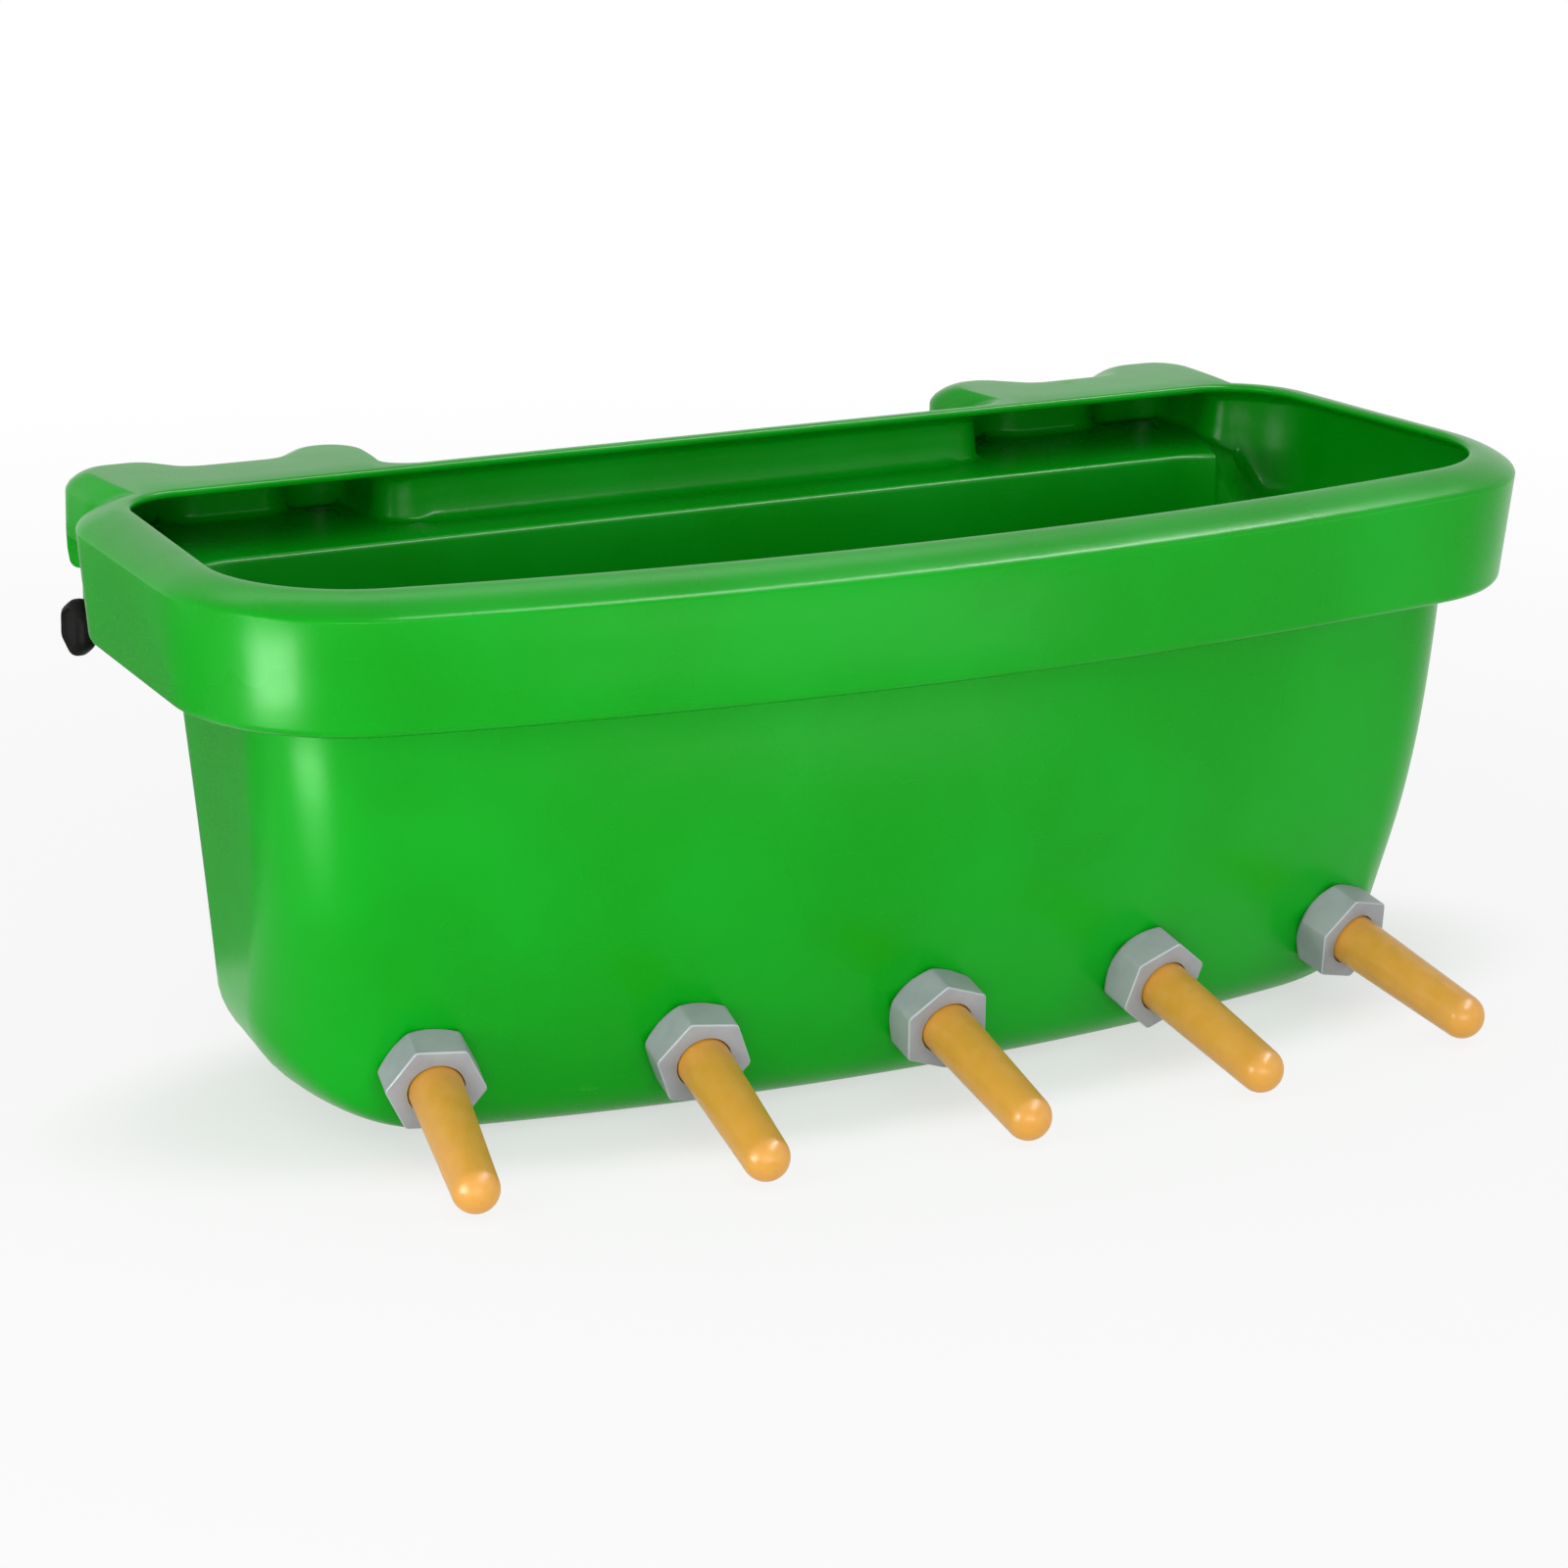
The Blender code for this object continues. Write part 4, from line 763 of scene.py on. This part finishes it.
def raise_parting_line(grid):
    """A fine bead round the rim: points near the mould's parting height move outwards in
    plan, by a bell curve of their distance from that height."""
    below = HEIGHT - PARTING_BELOW_TOP - grid[..., 2]
    rim_rows = np.arange(len(grid)) < FLAT_ROWS + RIM_ROWS + 2
    bell = PARTING_RISE * np.exp(-(below / PARTING_WIDTH) ** 2) * rim_rows[:, None]
    away = np.roll(grid, -1, 1) - np.roll(grid, 1, 1)
    normal = np.stack([away[..., 1], -away[..., 0]], -1)
    normal /= np.linalg.norm(normal, axis=-1)[..., None]
    grid[..., :2] += normal * bell[..., None]
    return grid


def build_shell(finish):
    """Both skins of the moulding, one wall apart, joined by the half-round edge of the lip,
    with a bore through the front wall at each station."""
    columns = Columns()
    outer = raise_parting_line(flatten_seats(section(columns, 0.0), 0.0))
    inner = flatten_seats(section(columns, WALL), WALL)
    centre = outer[0] - np.array([0.0, 0.0, WALL / 2])
    edge = plain_outline(columns, lip_sizes(0.0))[0]
    edge = mirrored(lift(edge, HEIGHT - WALL / 2))
    turn = np.linspace(-pi / 2, pi / 2, 2 * LIP_ROWS + 1)[1:-1, None, None]
    lip = centre + (edge - centre) * np.cos(turn) + (outer[0] - centre) * np.sin(turn)
    grid = np.concatenate([inner[::-1], lip, outer])
    faces = ring_faces(*grid.shape[:2], "flat")
    mesh = mesh_of("trough_moulding", grid.reshape(-1, 3), faces, SHELL_MERGE)
    cut_wall_bores(add_piece("trough_moulding", mesh, finish, "trough", ["trough_shell"], sharp=60))


def cut_wall_bores(shell):
    """Five round cutters in one mesh, taken out of the shell, which then keeps the result."""
    profile = np.array([(WALL_BORE / 2, -3 * WALL), (WALL_BORE / 2, WALL)])
    points, faces = [], []
    for number, (seat, out) in enumerate(seat_frames()):
        cutter = placed(turned(profile, BORE_STEPS), station_matrix(seat, out)).reshape(-1, 3)
        first = number * len(cutter)
        faces += [[first + i for i in face] for face in ring_faces(2, BORE_STEPS, "flat")]
        points.append(cutter)
    tool = add_object("bore_tool", mesh_of("bore_tool", np.vstack(points), faces))
    cut = shell.modifiers.new("wall_bores", "BOOLEAN")
    cut.operation = "DIFFERENCE"
    cut.object = tool
    cut.solver = "EXACT"
    bpy.context.view_layer.update()
    drilled = shell.evaluated_get(bpy.context.evaluated_depsgraph_get())
    result = bpy.data.meshes.new_from_object(drilled)
    shell.modifiers.remove(cut)
    shell.data = result
    bpy.data.objects.remove(tool, do_unlink=True)


# Teat stations


def own_axes(origin, x, z):
    """The place of a piece whose local X and Z point these ways."""
    turn = Matrix((x, z.cross(x), z)).transposed()
    return Matrix.LocRotScale(Vector(origin), turn.to_quaternion(), None)


def station_matrix(seat, out):
    """Local +Z along the teat, local X level."""
    z = Vector(out)
    return own_axes(seat, Vector((0, 0, 1)).cross(z).normalized(), z)


def flange_rear():
    """Heights along a station's axis start at the wall's outer face."""
    return -(WALL + FIT + SEAL_THICK + FIT + FLANGE_THICK)


def ball_gap(opening):
    """How far the ball's centre stays from a round opening that it closes."""
    return sqrt((BALL / 2) ** 2 - (opening / 2) ** 2)


def cage_rear():
    """The cage stands clear of the ball by its travel and a fit at each end."""
    return (flange_rear() + INLET_WALL + ball_gap(INLET_BORE) + FIT + BALL_TRAVEL + FIT
            + ball_gap(CAGE_OPENING))


def thread(angle, z, low, high):
    """Height of a thread: a triangle wave that climbs one pitch a turn and fades at both
    ends."""
    fade = smooth((high - z) / THREAD_FADE) * smooth((z - low) / THREAD_FADE)
    return THREAD_DEPTH * fade * ridge(z / THREAD_PITCH - angle / (2 * pi))


def write_attribute(piece, name, values):
    """One number for each point, for the piece's finish to read."""
    piece.data.attributes.new(name, "FLOAT", "POINT").data.foreach_set("value", values)


def build_nut(number, place, finish):
    """Union nut: a rounded hexagon cut by a cone at the rear, a small bevel in front, then
    the mouth, the shoulder and a threaded bore whose radius follows the turn and height."""
    angle = circle(NUT_STEPS)
    rear, face = FIT, FIT + NUT_LENGTH
    shoulder, mouth = face - NUT_SHOULDER, NUT_MOUTH / 2
    cone_z = np.linspace(rear, rear + NUT_CONE_DEPTH, NUT_CONE_ROWS)
    z = np.concatenate([cone_z, [face - NUT_FLAT_END]])
    hexes = hexagon(angle, NUT_FLATS, radians(NUT_TURNS[number - 1]), NUT_CORNERS)[None, :]
    cone = (NUT_FLATS / 2 - NUT_CONE_INSET + (z - rear) * NUT_CONE_SLOPE)[:, None]
    outer = -np.log(np.exp(-hexes * NUT_BLEND) + np.exp(-cone * NUT_BLEND)) / NUT_BLEND
    q = np.linspace(0, pi / 2, NUT_BEVEL_ROWS)
    bevel = hexes - NUT_BEVEL * (1 - np.cos(q[:, None]))
    inner = [(mouth + out, face - down) for out, down in NUT_MOUTH_EDGE]
    inner += [(mouth, shoulder), (NUT_BORE / 2, shoulder)]
    thread_z = np.linspace(shoulder - THREAD_FRONT, rear + THREAD_REAR, NUT_THREAD_ROWS)
    bore = NUT_BORE / 2 + thread(angle, thread_z[:, None], rear, shoulder)
    rows = [*zip(outer, z), *zip(bevel, face - NUT_BEVEL * (1 - np.sin(q))), *inner,
            *zip(bore, thread_z), (NUT_BORE / 2 + NUT_REAR_EDGE, rear)]
    nut = loft("hex_union_%d" % number, rings(angle, rows), place, finish,
               "nut_%d_body" % number, ["union_nut_%d" % number], sharp=32)
    # Painted highlight: the edge attribute peaks in the middle of the front bevel, where the finish
    # turns pale
    share = length_share(nut, place, face - NUT_BEVEL, face)
    write_attribute(nut, "edge", 4 * share * (1 - share))


def build_teat(number, place, finish):
    """Teat: clamped flange, tapered barrel, round tip with its small opening, hollow inside."""
    rear, front = SPIGOT_OUT + FIT, FIT + NUT_LENGTH - NUT_SHOULDER - FIT
    tip = FIT + NUT_LENGTH + TEAT_SHOWN
    base, end = TEAT_BASE / 2, TEAT_TIP / 2
    dome, bore, slit = tip - end, TEAT_TIP / 2 - TEAT_WALL, TEAT_SLIT / 2
    corners = [(TEAT_FLANGE / 2, rear), (TEAT_FLANGE / 2, front), (base, front)]
    flange = eased(corners, (TEAT_FLANGE_ROUND, TEAT_FLANGE_ROUND, 0.0), TEAT_FLANGE_EASE)
    flange = flange[:2 * (TEAT_FLANGE_EASE + 1)]
    barrel_z = np.linspace(front, dome, BARREL_ROWS)
    barrel = np.stack([base + (end - base) * (barrel_z - front) / (dome - front), barrel_z], -1)
    q = np.linspace(0, 1, DOME_ROWS)[1:, None] * (pi / 2 - TEAT_SLIT / TEAT_TIP)
    dome_arc = np.hstack([end * np.cos(q), dome + end * np.sin(q)])
    mouth = [(slit, dome + end * sin(q[-1, 0]) - TEAT_SLIT_DEPTH),
             (slit, dome + bore * TEAT_INSIDE_TOP)]
    q = np.linspace(1, 0, INSIDE_ROWS)[1:, None] * (pi / 2 - TEAT_INSIDE_OPEN)
    inside_arc = np.hstack([bore * np.cos(q), dome + bore * np.sin(q)])
    inside = [(base - TEAT_WALL, front), (base - TEAT_WALL, rear)]
    profile = np.vstack([flange, barrel, dome_arc, mouth, inside_arc, inside])
    teat = loft("rubber_teat_%d" % number, turned(profile, TEAT_STEPS), place, finish,
                "teat_%d_body" % number, ["teat_%d" % number], sharp=45)
    write_attribute(teat, "along", length_share(teat, place, NUT_LENGTH, tip))


def length_share(piece, place, start, end):
    """Each point's share of the length from start to end along the piece's own Z."""
    points = np.empty(len(piece.data.vertices) * 3)
    piece.data.vertices.foreach_get("co", points)
    m = np.array(place)
    along = (points.reshape(-1, 3) - m[:3, 3]) @ m[:3, 2]
    return np.clip((along - start) / (end - start), 0, 1)


def build_valve_body(number, place, finish):
    """Inner flange, threaded spigot through the wall, ball chamber and cage counterbore."""
    rear, seat, counter = flange_rear(), flange_rear() + INLET_WALL, cage_rear() - FIT
    front = rear + FLANGE_THICK
    flange = eased([(INLET_BORE / 2, rear), (FLANGE / 2, rear), (FLANGE / 2, front),
                    (SPIGOT / 2, front)], FLANGE_ROUNDS, FINE_EASE)
    inner = eased([(SPIGOT / 2 - SPIGOT_EDGE, SPIGOT_OUT), (CAGE / 2 + FIT, SPIGOT_OUT),
                   (CAGE / 2 + FIT, counter), (CHAMBER / 2, counter), (CHAMBER / 2, seat),
                   (INLET_BORE / 2, seat)], CHAMBER_ROUNDS, FINE_EASE)
    angle = circle(VALVE_STEPS)
    z = np.linspace(front, SPIGOT_OUT - THREAD_FRONT, SPIGOT_ROWS)
    spigot = SPIGOT / 2 - thread(angle, z[:, None], 0.0, SPIGOT_OUT)
    rows = [*flange, *zip(spigot, z), *inner]
    loft("valve_spigot_%d" % number, rings(angle, rows), place, finish, "trough",
         ["valve_body_%d" % number], sharp=35)


def build_seal(number, place, finish):
    """Flat ring between the flange and the wall: a rectangle with eased corners, turned."""
    low, high, bore = -(WALL + FIT + SEAL_THICK), -(WALL + FIT), SPIGOT / 2 + FIT
    profile = eased([(bore, low), (SEAL_OUTER / 2, low), (SEAL_OUTER / 2, high), (bore, high)],
                    [SEAL_ROUND] * 4, FINE_EASE)
    loft("flat_seal_%d" % number, turned(profile, SEAL_STEPS), place, finish, "trough",
         ["wall_seal_%d" % number])


def build_cage(number, place, finish):
    """Disc whose opening swings between its points and lobes four times round."""
    angle = circle(CAGE_STEPS)
    low, high, edge, rim = cage_rear(), cage_rear() + CAGE_THICK, CAGE_EDGE, CAGE / 2
    lobes = (CAGE_LOBE + CAGE_OPENING) / 4 + (CAGE_LOBE - CAGE_OPENING) / 4 * np.cos(4 * angle)
    rows = [(lobes + edge, low), (rim - edge, low), (rim, low + edge), (rim, high - edge),
            (rim - edge, high), (lobes + edge, high), (lobes, high - edge), (lobes, low + edge)]
    loft("ball_cage_%d" % number, rings(angle, rows), place, finish, "trough",
         ["valve_cage_%d" % number], sharp=30)


def build_ball(number, place, finish):
    """Sphere a fit short of the cage's opening: a half circle from pole to pole, turned."""
    centre = cage_rear() - FIT - ball_gap(CAGE_OPENING)
    q = np.linspace(-pi / 2, pi / 2, BALL_ROWS)
    profile = np.stack([BALL / 2 * np.cos(q), centre + BALL / 2 * np.sin(q)], -1)
    loft("steel_ball_%d" % number, turned(profile, BALL_STEPS), place, finish,
         "ball_%d_body" % number, ["check_ball_%d" % number], ends="poles")


# Swivel locks


def lock_matrix(side, x):
    """Local +Z outwards along the spindle, local X to the front."""
    return own_axes((side * x, LOCK_Y, LOCK_Z), Vector((0, -1, 0)), Vector((side, 0, 0)))


def lug_places():
    """Where the outer and the inner lug start and end along the spindle."""
    outer, inner = KNOB_FACE - KNOB_THICK - FIT, INNER_LUG + LUG_WIDTH / 2
    return [(outer - LUG_WIDTH, outer), (inner - LUG_WIDTH, inner)]


def build_lug(name, side, low, high, finish):
    """Moulded lug: a round end about the spindle that flares into the finger above it. Its
    outline's reach from the axis is a circle below, and above it a column whose sides widen
    towards the root; the bore is a circle at the same angles."""
    angle = circle(LUG_STEPS) - pi / 2
    top = HEIGHT - FINGER_DROP + WALL / 2 - LOCK_Z
    up, across = np.sin(angle), np.cos(angle)
    flare = LUG_ROOT / 2 + LUG_FLARE * smooth((up - LUG_FLARE_FROM) / LUG_FLARE_RUN)
    limit = np.minimum(top / np.maximum(up, TINY), flare / np.maximum(np.abs(across), TINY))
    reach = np.where(up > 0, np.maximum(LUG_RADIUS, limit), LUG_RADIUS)
    bore = (SPINDLE + BORE_PLAY) / 2
    edge, length = LUG_EDGE, high - low
    rows = [(bore + edge, 0), (reach - edge, 0), (reach, edge), (reach, length - edge),
            (reach - edge, length), (bore + edge, length), (bore, length - edge), (bore, edge)]
    grid = rings(angle, rows) * np.array([1.0, -side, 1.0])
    loft(name, grid, lock_matrix(side, low), finish, "trough", [], sharp=35)


def build_knob(side, hand, finish):
    """Knob: a rounded hexagon with domed edges, a dished face and a blind bore behind."""
    angle = circle(KNOB_STEPS)
    shape = hexagon(angle, KNOB_WIDTH * cos(pi / 6), pi / 6, KNOB_CORNERS)
    edge, bore = KNOB_EDGE, SPINDLE / 2 + FIT
    depth, dish = KNOB_THICK - KNOB_END_WALL, KNOB_THICK - KNOB_DISH
    q = np.linspace(0, pi / 2, KNOB_EDGE_ROWS)
    rows = [(0, depth), (bore, depth), (bore, 0)]
    rows += [(shape - edge * (1 - sin(a)), edge * (1 - cos(a))) for a in q]
    rows += [(shape - edge * (1 - cos(a)), KNOB_THICK - edge * (1 - sin(a))) for a in q]
    rows += [(shape * KNOB_DISH_RIM, KNOB_THICK), (shape * KNOB_DISH_FLOOR, dish), (0, dish)]
    loft("hand_knob_" + hand, rings(angle, rows), lock_matrix(side, KNOB_FACE - KNOB_THICK),
         finish, "lock_" + hand, ["lock_knob_" + hand], sharp=35, ends="poles")


def build_spindle(side, hand, finish):
    """Steel rod with a clip groove and chamfered ends."""
    inner = lug_places()[1][0] - 2 * FIT - WASHER_THICK - FIT - CLIP_THICK - SPINDLE_TAIL
    outer = KNOB_FACE - KNOB_END_WALL - FIT
    groove = clip_place() - inner
    r, g, chamfer = SPINDLE / 2, CLIP_GROOVE / 2 - FIT, SPINDLE_CHAMFER
    low, high, end = groove - FIT / 2, groove + CLIP_THICK + FIT / 2, outer - inner
    profile = [(0, 0), (r - chamfer, 0), (r, chamfer), (r, low), (g, low), (g, high),
               (r, high), (r, end - chamfer), (r - chamfer, end), (0, end)]
    loft("steel_spindle_" + hand, turned(profile, SPINDLE_STEPS), lock_matrix(side, inner), finish,
         "lock_" + hand, ["lock_spindle_" + hand], sharp=30, ends="poles")


def clip_place():
    """Where the clip starts along the spindle, inside the inner lug's washer."""
    return lug_places()[1][0] - FIT - WASHER_THICK - FIT - CLIP_THICK


def build_cam(side, hand, finish):
    """Locking arm: at each angle its reach is the larger of the hub's circle and the arm, a
    strip with a round end; its edges are rounded and its bore is plain."""
    angle = circle(CAM_STEPS)
    tip, half = CAM_REACH - CAM_THICK / 2, CAM_THICK / 2
    c, s = np.cos(angle), np.sin(angle)
    strip = np.where(c > 0, half / np.maximum(np.abs(s), TINY), 0.0)
    inside = np.maximum(half ** 2 - (tip * s) ** 2, 0.0)
    end = np.where((c > 0) & (np.abs(tip * s) < half), tip * c + np.sqrt(inside), 0.0)
    reach = np.maximum(CAM_HUB / 2, np.where(strip * c < tip, strip, end))
    bore, edge, width = SPINDLE / 2 + FIT, CAM_EDGE, CAM_WIDTH / 2
    rows = [(bore + edge / 2, -width), (reach - edge, -width), (reach, edge - width),
            (reach, width - edge), (reach - edge, width), (bore + edge / 2, width),
            (bore, width - edge / 2), (bore, edge / 2 - width)]
    loft("locking_arm_" + hand, rings(angle, rows), lock_matrix(side, CAM_PLACE), finish,
         "lock_" + hand, ["lock_cam_" + hand], sharp=35)


def build_trim(side, hand, finish):
    """The spring pin, washer and open clip of one lock: a chamfered tube through the arm's
    hub, a flat ring, and two circles joined into an open ring."""
    body = "lock_" + hand
    half, bore, r = CAM_HUB / 2 - PIN_SUNK, PIN_BORE / 2, PIN / 2
    narrow, long = r - PIN_CHAMFER, half - PIN_CHAMFER_LENGTH
    pin = [(bore, -half), (narrow, -half), (r, -long), (r, long), (narrow, half), (bore, half)]
    across = lock_matrix(side, CAM_PLACE) @ Matrix.Rotation(pi / 2, 4, "X")
    loft("spring_pin_" + hand, turned(pin, PIN_STEPS), across, finish, body,
         ["lock_pin_" + hand])
    bore = SPINDLE / 2 + FIT
    washer = eased([(bore, 0), (WASHER / 2, 0), (WASHER / 2, WASHER_THICK), (bore, WASHER_THICK)],
                   [WASHER_ROUND] * 4, WASHER_EASE)
    place = lock_matrix(side, clip_place() + CLIP_THICK + FIT)
    loft("flat_washer_" + hand, turned(washer, WASHER_STEPS), place, finish, body,
         ["lock_washer_" + hand])
    angle = CLIP_GAP / 2 + (2 * pi - CLIP_GAP) * np.linspace(0, 1, CLIP_STEPS)
    ray = np.stack([np.cos(angle), np.sin(angle)], -1)
    outline = np.vstack([CLIP_OUTER / 2 * ray, CLIP_GROOVE / 2 * ray[::-1]])
    grid = np.stack([lift(outline, z) for z in (0.0, CLIP_THICK)])
    loft("retaining_clip_" + hand, grid, lock_matrix(side, clip_place()), finish, body,
         ["lock_clip_" + hand], sharp=30, ends="flat")


# Studio and camera


CAMERA_PLACE = (-1.3084, -2.2233, 0.8712)
CAMERA_YAW, CAMERA_PITCH, CAMERA_ROLL = -0.522997, 0.279296, 0.019735
FOCAL_PIXELS, FRAME_PIXELS, SENSOR = 5361.096, 1600, 36.0
CLIP_NEAR, CLIP_FAR = 0.05, 100.0


def build_camera():
    """The photograph's camera: forward from yaw and pitch, then rolled about it."""
    forward = np.array([-sin(CAMERA_YAW) * cos(CAMERA_PITCH), cos(CAMERA_YAW) * cos(CAMERA_PITCH),
                        -sin(CAMERA_PITCH)])
    level = np.array([cos(CAMERA_YAW), sin(CAMERA_YAW), 0.0])
    above = np.cross(level, forward)
    right = cos(CAMERA_ROLL) * level + sin(CAMERA_ROLL) * above
    up = -sin(CAMERA_ROLL) * level + cos(CAMERA_ROLL) * above
    camera = add_object("camera", bpy.data.cameras.new("camera"))
    axes = np.stack([right, up, -forward, np.array(CAMERA_PLACE)], 1)
    camera.matrix_world = Matrix([*axes.tolist(), [0, 0, 0, 1]])
    camera.data.sensor_width = SENSOR
    camera.data.lens = FOCAL_PIXELS / FRAME_PIXELS * SENSOR
    camera.data.clip_start, camera.data.clip_end = CLIP_NEAR, CLIP_FAR
    bpy.context.scene.camera = camera


SQUARE = ((-1, -1), (1, -1), (1, 1), (-1, 1))
FLOOR_REACH, FLOOR_COLOUR = 30.0, (0.82, 0.82, 0.82, 1.0)
NEAR_WHITE, WHITE_FROM, WHITE_TO = 0.84, 0.5, 1.8
# Painted shade: the floor is less white below the tub, in an oval of these half-widths, fading out
# to a share more
SHADED_UNDER_WHITE, UNDER_HALF_X, UNDER_HALF_Y, UNDER_FADE = 0.60, 0.33, 0.12, 1.4
ROOM_LIGHT = 0.68
# Lamps: place, width, height, power in watts, and whether it only adds a gleam. Each faces
# the part's middle, or its own aim.
LAMPS = {"front_box": ((-1.0, -2.3, 0.42), 1.8, 0.6, 24.5, False),
         "right_box": ((1.9, -1.5, 0.55), 1.0, 0.8, 4.0, False),
         "left_box": ((-2.3, -0.5, 0.50), 1.0, 0.8, 15.0, False),
         "top_strip": ((0.3, 1.3, 2.2), 2.2, 0.5, 9.0, True),
         "rim_strip": ((0.9, -0.85, 2.15), 2.6, 0.30, 80.0, True),
         "floor_strip": ((0.11, -0.64, 0.05), 0.50, 0.10, 0.35, True),
         "side_strip": ((-1.5, -0.35, 0.32), 0.22, 0.60, 3.2, True),
         "corner_strip": ((-0.751, -0.230, 0.055), 0.25, 0.09, 2.2, True)}
LAMP_AIM = (0.0, 0.0, 0.15)
LAMP_AIMS = {"corner_strip": (-0.354, -0.093, 0.252), "floor_strip": (-0.06, -0.149, 0.262)}
# Painted reflection: the card below exists only to darken the left end's reflection
# A grey card behind the left end, seen by reflections alone, keeps that end from washing out
FLAG_CORNERS = ((-1.0, 0.22, 0.003), (-0.22, 0.22, 0.003),
                (-0.22, 1.3, 0.003), (-1.0, 1.3, 0.003))
FLAG_LEVEL = 0.25


def add_sheet(name, corners, paint):
    """A flat sheet of the studio."""
    mesh = bpy.data.meshes.new(name)
    mesh.from_pydata(corners, [], [(0, 1, 2, 3)])
    mesh.materials.append(paint.material)
    return add_object(name, mesh)


def build_floor():
    """A pale floor with a soft shadow, painted shade below the tub and plain white further out."""
    p = Paint("pale_floor", Base_Color=FLOOR_COLOUR, Roughness=1.0,
              Specular_IOR_Level=0.0)
    away = p.add("ShaderNodeVectorMath", {"operation": "LENGTH"}, p.place, out="Value")
    oval = p.add("ShaderNodeMapping", {}, Vector=p.place,
                 Scale=(1 / UNDER_HALF_X, 1 / UNDER_HALF_Y, 1.0))
    beside = p.add("ShaderNodeVectorMath", {"operation": "LENGTH"}, oval, out="Value")
    # Painted shade: the glow drops inside the oval below the tub
    clear = beside.over(1.0, UNDER_FADE) * (NEAR_WHITE - SHADED_UNDER_WHITE)
    white = SHADED_UNDER_WHITE + clear + away.over(WHITE_FROM, WHITE_TO) * (1.0 - NEAR_WHITE)
    glow = p.add("ShaderNodeEmission", {}, Strength=1.0)
    lit = Value(p, p.shader.outputs[0])
    mix = p.add("ShaderNodeMixShader", {}, p.seen() * white, lit, glow)
    p.tree.links.new(mix.socket, p.tree.nodes["Material Output"].inputs["Surface"])
    corners = [(x * FLOOR_REACH, y * FLOOR_REACH, 0) for x, y in SQUARE]
    floor = add_sheet("floor", corners, p)


def build_reflection_card():
    """The grey card: a painted reflection, hidden from the camera, the shadows and the plain light.
    """
    p = Paint("reflection_only_grey", Base_Color=(0.0, 0.0, 0.0, 1.0), Specular_IOR_Level=0.0,
              Emission_Color=(1.0, 1.0, 1.0, 1.0), Emission_Strength=FLAG_LEVEL)
    flag = add_sheet("grey_flag", FLAG_CORNERS, p)
    flag.visible_camera = flag.visible_diffuse = flag.visible_shadow = False
    flag.visible_transmission = False


def build_room():
    """A white room for the camera and for reflections, a little dimmer as a light."""
    world = bpy.data.worlds.new("white_room")
    world.use_nodes = True
    nodes = Nodes(world.node_tree)
    strength = nodes.add("ShaderNodeMapRange", {}, nodes.seen(), To_Min=ROOM_LIGHT, To_Max=1.0)
    background = nodes.tree.nodes["Background"]
    background.inputs["Color"].default_value = (1.0, 1.0, 1.0, 1.0)
    nodes.tree.links.new(strength.socket, background.inputs["Strength"])
    bpy.context.scene.world = world


def build_lamps():
    """Soft boxes that light the part, and strips that only gleam on it."""
    for name, (place, width, height, power, gleam) in LAMPS.items():
        lamp = bpy.data.lights.new(name, "AREA")
        lamp.shape = "RECTANGLE"
        lamp.size, lamp.size_y, lamp.energy = width, height, power
        box = add_object(name, lamp)
        aim = Vector(LAMP_AIMS.get(name, LAMP_AIM)) - Vector(place)
        box.location = place
        box.rotation_euler = aim.to_track_quat("-Z", "Y").to_euler()
        box.visible_camera = False
        box.visible_diffuse = not gleam


def main():
    """Clear Blender's first objects, then build every piece and the studio round them."""
    for name in ("Cube", "Light", "Camera"):
        if name in bpy.data.objects:
            bpy.data.objects.remove(bpy.data.objects[name], do_unlink=True)
    bpy.context.scene.view_settings.view_transform = "Standard"
    green = green_polyethylene()
    rubber = teat_rubber()
    grey, white, black, seal = [moulded_plastic(n, *look) for n, look in PLASTICS.items()]
    steel = bright_steel()
    build_shell(green)
    for number, (seat, out) in enumerate(seat_frames(), 1):
        place = station_matrix(seat, out)
        build_nut(number, place, grey)
        build_teat(number, place, rubber)
        build_valve_body(number, place, white)
        build_seal(number, place, seal)
        build_cage(number, place, white)
        build_ball(number, place, steel)
    for side, hand in ((-1, "left"), (1, "right")):
        for (low, high), where in zip(lug_places(), ("outer", "inner")):
            build_lug("spindle_lug_%s_%s" % (hand, where), side, low, high, green)
        build_knob(side, hand, black)
        build_spindle(side, hand, steel)
        build_cam(side, hand, black)
        build_trim(side, hand, steel)
    build_camera()
    build_floor()
    build_reflection_card()
    build_room()
    build_lamps()


main()
